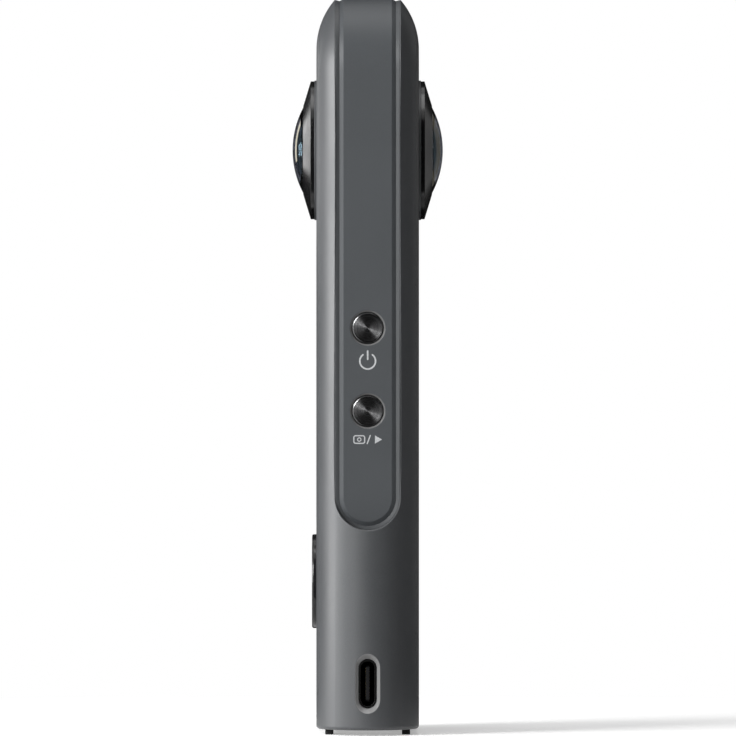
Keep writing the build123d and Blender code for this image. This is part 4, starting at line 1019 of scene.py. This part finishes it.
def contact_row_tree():
    """Two rows of flat contact pads, one on each face of the socket's tongue."""
    tree, given, out = piece_tree("contact rows", Count=12, Pitch=0.0005, Pad=(0.0025, 0.00003, 0.00025),
                                  Centre=NOWHERE, Apart=0.0007)
    step = offset_of(tree, Z=given["Pitch"])
    reach = half_back(tree, given["Count"], given["Pitch"])
    pad = put(tree, "GeometryNodeMeshCube", Size=given["Pad"]).outputs[0]
    rows = put(tree, "GeometryNodeJoinGeometry")
    for side in (-0.5, 0.5):
        start = offset_of(tree, Y=times(tree, given["Apart"], side), Z=reach)
        line = put(tree, "GeometryNodeMeshLine", Count=given["Count"], Start_Location=start, Offset=step)
        feed(tree, rows.inputs[0], repeated(tree, line.outputs[0], pad))
    moved = put(tree, "GeometryNodeTransform", Geometry=rows.outputs[0], Translation=given["Centre"])
    return close_tree(tree, given, out, moved.outputs[0])


def usb_contacts():
    """The gold contacts on the tongue of the socket."""
    low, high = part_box("usb_tongue")
    centre = (high.x - CONTACT_SETBACK - CONTACT_LENGTH / 2, 0.0, (low.z + high.z) / 2)
    grown_piece("usb_contacts", contact_row_tree(), contact_gold, "root", "copper",
                Count=CONTACT_COUNT, Pitch=CONTACT_PITCH,
                Pad=(CONTACT_LENGTH, CONTACT_THICKNESS, CONTACT_WIDTH), Centre=centre, Apart=high.y - low.y)


def woven_screen_tree():
    """A woven wire screen: two sets of round wires that pass over and under each other."""
    tree, given, out = piece_tree("woven screen", Width=0.01, Height=0.001, Pitch=0.0002, Wire=0.00004,
                                  Centre=NOWHERE)
    pitch, wire = given["Pitch"], given["Wire"]
    wires = put(tree, "GeometryNodeJoinGeometry")
    profile = put(tree, "GeometryNodeCurvePrimitiveCircle", Resolution=6, Radius=wire).outputs[0]
    for along, across, run_axis, row_axis, phase in (("Width", "Height", "X", "Z", 0.0),
                                                     ("Height", "Width", "Z", "X", 1.0)):
        count = maths(tree, "FLOOR", maths(tree, "DIVIDE", given[across], pitch))
        reach = half_back(tree, count, pitch)
        start, end = [offset_of(tree, **{run_axis: times(tree, given[along], share), row_axis: reach})
                      for share in (-0.5, 0.5)]
        line = put(tree, "GeometryNodeCurvePrimitiveLine", Start=start, End=end)
        sampled = put(tree, "GeometryNodeResampleCurve", {"mode": "LENGTH"}, Curve=line.outputs[0],
                      Length=times(tree, pitch, 0.25))
        step = offset_of(tree, **{row_axis: pitch})
        points = put(tree, "GeometryNodeMeshLine", Count=count, Offset=step)
        many = repeated(tree, points.outputs[0], sampled.outputs[0])
        real = put(tree, "GeometryNodeRealizeInstances", Geometry=many)
        parts = parts_of(tree, put(tree, "GeometryNodeInputPosition").outputs[0])
        from_first = maths(tree, "SUBTRACT", parts[row_axis], reach)
        row = maths(tree, "ROUND", maths(tree, "DIVIDE", from_first, pitch))
        crossings = maths(tree, "DIVIDE", parts[run_axis], pitch)
        angle = times(tree, maths(tree, "ADD", crossings, maths(tree, "ADD", row, phase)), pi)
        shift = offset_of(tree, Y=times(tree, maths(tree, "SINE", angle), wire))
        woven = put(tree, "GeometryNodeSetPosition", Geometry=real.outputs[0], Offset=shift)
        tube = put(tree, "GeometryNodeCurveToMesh", Curve=woven.outputs[0], Profile_Curve=profile,
                   Fill_Caps=True)
        feed(tree, wires.inputs[0], tube.outputs[0])
    moved = put(tree, "GeometryNodeTransform", Geometry=wires.outputs[0], Translation=given["Centre"])
    return close_tree(tree, given, out, moved.outputs[0])


def speaker_screen():
    """The screen behind the speaker holes."""
    low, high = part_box("speaker")
    centre = (0.0, high.y - SCREEN_SETBACK, (low.z + high.z) / 2)
    grown_piece("speaker_screen", woven_screen_tree(), finishes["screw_metal"], "root", "screw_metal",
                Width=SCREEN_WIDTH, Height=SCREEN_HEIGHT, Pitch=SCREEN_PITCH, Wire=SCREEN_WIRE,
                Centre=centre)


def ridge_stack_tree():
    """A stack of thin sharp ridges round an axis along Y, each a little narrower than the one before."""
    tree, given, out = piece_tree("baffle ridges", Count=4, Pitch=0.0004, Radius=0.006, Ridge=0.0002,
                                  Narrowing=0.03, Start=NOWHERE)
    circle = put(tree, "GeometryNodeCurvePrimitiveCircle", Resolution=96, Radius=given["Radius"])
    profile = put(tree, "GeometryNodeCurvePrimitiveCircle", Resolution=4, Radius=given["Ridge"])
    ring = put(tree, "GeometryNodeCurveToMesh", Curve=circle.outputs[0], Profile_Curve=profile.outputs[0])
    turned = put(tree, "GeometryNodeTransform", Geometry=ring.outputs[0], Rotation=(QUARTER, 0, 0))
    step = offset_of(tree, Y=given["Pitch"])
    points = put(tree, "GeometryNodeMeshLine", Count=given["Count"], Start_Location=given["Start"],
                 Offset=step)
    number = put(tree, "GeometryNodeInputIndex").outputs[0]
    size = maths(tree, "SUBTRACT", 1.0, times(tree, number, given["Narrowing"]))
    many = repeated(tree, points.outputs[0], turned.outputs[0], Scale=offset_of(tree, X=size, Y=1.0, Z=size))
    return close_tree(tree, given, out, many)


def lens_baffles():
    """Light baffles inside each lens barrel, in front of its first inner element."""
    tree = ridge_stack_tree()
    for side, centre, sign in (("front", front_lens_centre, -1), ("rear", rear_lens_centre, 1)):
        low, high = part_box(side + "_lens_barrel")
        barrel_front = low.y if sign < 0 else high.y
        grown_piece(side + "_lens_baffles", tree, finishes["barrel"], "root", "barrel",
                    Count=BAFFLE_COUNT, Pitch=-sign * BAFFLE_PITCH, Radius=BAFFLE_RADIUS, Ridge=BAFFLE_RIDGE,
                    Narrowing=BAFFLE_NARROWING, Start=(0.0, barrel_front - sign * BAFFLE_SETBACK, centre.z))


def small_parts_tree():
    """Rows of small soldered parts of varied size, scattered with gaps by a fixed seed."""
    tree, given, out = piece_tree("soldered parts", Columns=20, Rows=4, Width=0.026, Height=0.006,
                                  Part=(0.0008, 0.0004, 0.0005), Centre=NOWHERE, Seed=7, Kept=0.7)
    grid = put(tree, "GeometryNodeMeshGrid", Size_X=given["Width"], Size_Y=given["Height"],
               Vertices_X=given["Columns"], Vertices_Y=given["Rows"])
    upright = put(tree, "GeometryNodeTransform", Geometry=grid.outputs[0], Rotation=(-QUARTER, 0, 0),
                  Translation=given["Centre"])
    kept = put(tree, "FunctionNodeRandomValue", {"data_type": "BOOLEAN"}, Probability=given["Kept"],
               Seed=given["Seed"])
    size = put(tree, "FunctionNodeRandomValue", {"data_type": "FLOAT"}, Seed=given["Seed"])
    for socket, value in zip([s for s in size.inputs if s.enabled], (0.75, 1.15)):
        feed(tree, socket, value)
    block = put(tree, "GeometryNodeMeshCube", Size=given["Part"])
    many = repeated(tree, upright.outputs[0], block.outputs[0], Selection=kept.outputs[3],
                    Scale=size.outputs[1])
    return close_tree(tree, given, out, many)


def soldered_part_finish():
    """Small ceramic parts, metallic like tin in patches that follow a noise."""
    made = Finish("small ceramic parts")
    texture = made.group(GRAIN, Grain=2600.0)
    shade = made.colour(texture["Drift"], tone(0.16, 0.11, 0.07), tone(0.3, 0.27, 0.22))
    return made.done(shade, made.between(texture["Speckle"], 0.35, 0.5),
                     made.bump(texture["Height"], 6e-6),
                     Metallic=spread(made.tree, texture["Drift"], 0.55, 0.7, 0.0, 0.6))


def board_small_parts():
    """The small parts on the main board, above and below its shield."""
    low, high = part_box("main_board")
    shield_low, shield_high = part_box("board_shield")
    tree = small_parts_tree()
    finish = soldered_part_finish()
    face_y = high.y + SMALL_PART[1] / 2 - SMALL_PART_SUNK
    below = (low.z + BOARD_CLEAR_BOTTOM, shield_low.z - SHIELD_CLEARANCE)
    above = (shield_high.z + SHIELD_CLEARANCE, high.z - BOARD_CLEAR_TOP)
    for place, (bottom, top), seed in (("lower", below, 11), ("upper", above, 29)):
        grown_piece("board_small_parts_" + place, tree, finish, "root", "chip",
                    Columns=13, Rows=4, Width=SMALL_PARTS_WIDTH, Height=top - bottom, Part=SMALL_PART,
                    Centre=(0.0, face_y, (bottom + top) / 2), Seed=seed, Kept=0.72)


# Floor, light and camera

FLOOR_REACH = 4.0
FLOOR_Z = -0.03 * MM
FLOOR_SHADE_NEAR = 0.06
FLOOR_SHADE_FAR = 0.22
FLOOR_LIFT = 0.35
ROOM_LIGHT = 0.2
LAMP_AIM = (0, 0, 0.068)
CARD_RADIUS = 0.3
CARD_FOOT_SHARE = 0.12
CARD_FOOT_Z = 0.5 * MM
CARD_TOP_Z = 0.5
CARD_ANGLES = range(-25, 246, 5)


def mix_shaders(tree, share, first, second):
    made = tree.nodes.new("ShaderNodeMixShader")
    for socket, value in zip(made.inputs, (share, first, second)):
        feed(tree, socket, value)
    return made.outputs[0]


def seen_directly(tree):
    """1 for what the camera sees, also in a reflection or through glass."""
    path = put(tree, "ShaderNodeLightPath").outputs
    either = maths(tree, "MAXIMUM", path["Is Camera Ray"], path["Is Glossy Ray"])
    return maths(tree, "MAXIMUM", either, path["Is Transmission Ray"])


def floor_finish():
    """A plain pale floor that keeps the object's shadow, is white further out and clear from below."""
    material, tree = blank_material("pale studio floor")
    distance = tree.nodes.new("ShaderNodeVectorMath")
    distance.operation = "LENGTH"
    feed(tree, distance.inputs[0], put(tree, "ShaderNodeTexCoord").outputs["Object"])
    far = spread(tree, distance.outputs["Value"], FLOOR_SHADE_NEAR, FLOOR_SHADE_FAR)
    seen = seen_directly(tree)
    matt = put(tree, "ShaderNodeBsdfDiffuse", Color=grey(0.8), Roughness=0.3)
    lift = put(tree, "ShaderNodeEmission", Color=grey(1.0), Strength=times(tree, seen, FLOOR_LIFT))
    soft = tree.nodes.new("ShaderNodeAddShader")
    feed(tree, soft.inputs[0], matt.outputs[0])
    feed(tree, soft.inputs[1], lift.outputs[0])
    white = put(tree, "ShaderNodeEmission", Color=grey(1.0), Strength=1.0)
    above = mix_shaders(tree, times(tree, far, seen), soft.outputs[0], white.outputs[0])
    clear = tree.nodes.new("ShaderNodeBsdfTransparent")
    from_below = put(tree, "ShaderNodeNewGeometry").outputs["Backfacing"]
    both = mix_shaders(tree, times(tree, from_below, seen), above, clear.outputs[0])
    put(tree, "ShaderNodeOutputMaterial", Surface=both)
    return material


def mesh_object(name, verts, faces, finish):
    mesh = bpy.data.meshes.new(name)
    mesh.from_pydata(verts, [], faces)
    mesh.materials.append(finish)
    return new_object(name, mesh)


def stage():
    """The floor, and a pale room that lights everything a little."""
    corners = [(-1, -1), (1, -1), (1, 1), (-1, 1)]
    verts = [(x * FLOOR_REACH, y * FLOOR_REACH, FLOOR_Z) for x, y in corners]
    sheet = mesh_object("floor", verts, [(0, 1, 2, 3)], floor_finish())
    world = bpy.data.worlds.new("pale room")
    bpy.context.scene.world = world
    world.use_nodes = True
    tree = world.node_tree
    tree.nodes.clear()
    strength = spread(tree, seen_directly(tree), 0.0, 1.0, ROOM_LIGHT, 1.0)
    sky = put(tree, "ShaderNodeBackground", Color=grey(1.0), Strength=strength)
    put(tree, "ShaderNodeOutputWorld", Surface=sky.outputs[0])


def soft_lamp(name, place, aim, width, height, power):
    data = bpy.data.lights.new(name, "AREA")
    data.shape = "RECTANGLE"
    data.size = width
    data.size_y = height
    data.energy = power
    lamp = new_object(name, data)
    lamp.location = place
    lamp.rotation_euler = (Vector(aim) - Vector(place)).to_track_quat("-Z", "Y").to_euler()


def lights():
    """The lamps: place, aim, width, height and power in watts."""
    soft_lamp("side strip", (-0.14, -0.79, 0.07), LAMP_AIM, 0.3, 0.42, 4.5)
    soft_lamp("second strip", (0.22, -0.77, 0.07), LAMP_AIM, 0.16, 0.42, 1.35)
    soft_lamp("front soft box", (0.65, -0.77, 0.52), LAMP_AIM, 0.45, 0.45, 12.0)
    soft_lamp("front fill", (0.94, -0.33, 0.13), LAMP_AIM, 0.25, 0.25, 1.2)
    soft_lamp("top soft box", (0.05, 0.1, 1.0), LAMP_AIM, 0.5, 0.5, 1.8)
    soft_lamp("rear window", (-0.226, -0.152, 0.128), front_lens_centre, 0.035, 0.07, 0.018)
    soft_lamp("rear right window", (-0.215, 0.163, 0.11), rear_lens_centre, 0.09, 0.3, 0.018)


def dark_card():
    """A dark card behind and to the right, and on the floor there, seen only in reflections."""
    finish = Finish("dark card", Base_Color=grey(0.01), Specular_IOR_Level=0.0).material
    rim = [(CARD_RADIUS * cos(radians(turn)), CARD_RADIUS * sin(radians(turn))) for turn in CARD_ANGLES]
    verts = [(x * CARD_FOOT_SHARE, y * CARD_FOOT_SHARE, CARD_FOOT_Z) for x, y in rim]
    verts += [(x, y, CARD_FOOT_Z) for x, y in rim] + [(x, y, CARD_TOP_Z) for x, y in rim]
    count = len(rim)
    faces = [(row + n, row + n + 1, row + n + 1 + count, row + n + count)
             for row in (0, count) for n in range(count - 1)]
    card = mesh_object("dark_card", verts, faces, finish)
    card.visible_camera = False
    card.visible_diffuse = False
    card.visible_shadow = False
    card.visible_transmission = False


def camera():
    """The photo's view, from the side with the keys."""
    data = bpy.data.cameras.new("side view")
    data.sensor_width = SENSOR_WIDTH
    data.sensor_fit = "HORIZONTAL"
    data.lens = SENSOR_WIDTH * CAMERA_DISTANCE / (IMAGE_SIDE * PIXEL)
    data.clip_start = NEAREST_SEEN
    seen = new_object("side view", data)
    seen.location = (SILHOUETTE_X + CAMERA_DISTANCE, VIEW_MIDDLE_Y, VIEW_MIDDLE_Z)
    seen.rotation_euler = (QUARTER, 0, QUARTER)
    bpy.context.scene.camera = seen


dress_frame()
power_mark()
mode_mark()
band_seal()
tripod_socket()
usb_contacts()
speaker_screen()
lens_baffles()
board_small_parts()
stage()
lights()
dark_card()
camera()
bpy.context.scene.view_settings.view_transform = "Standard"
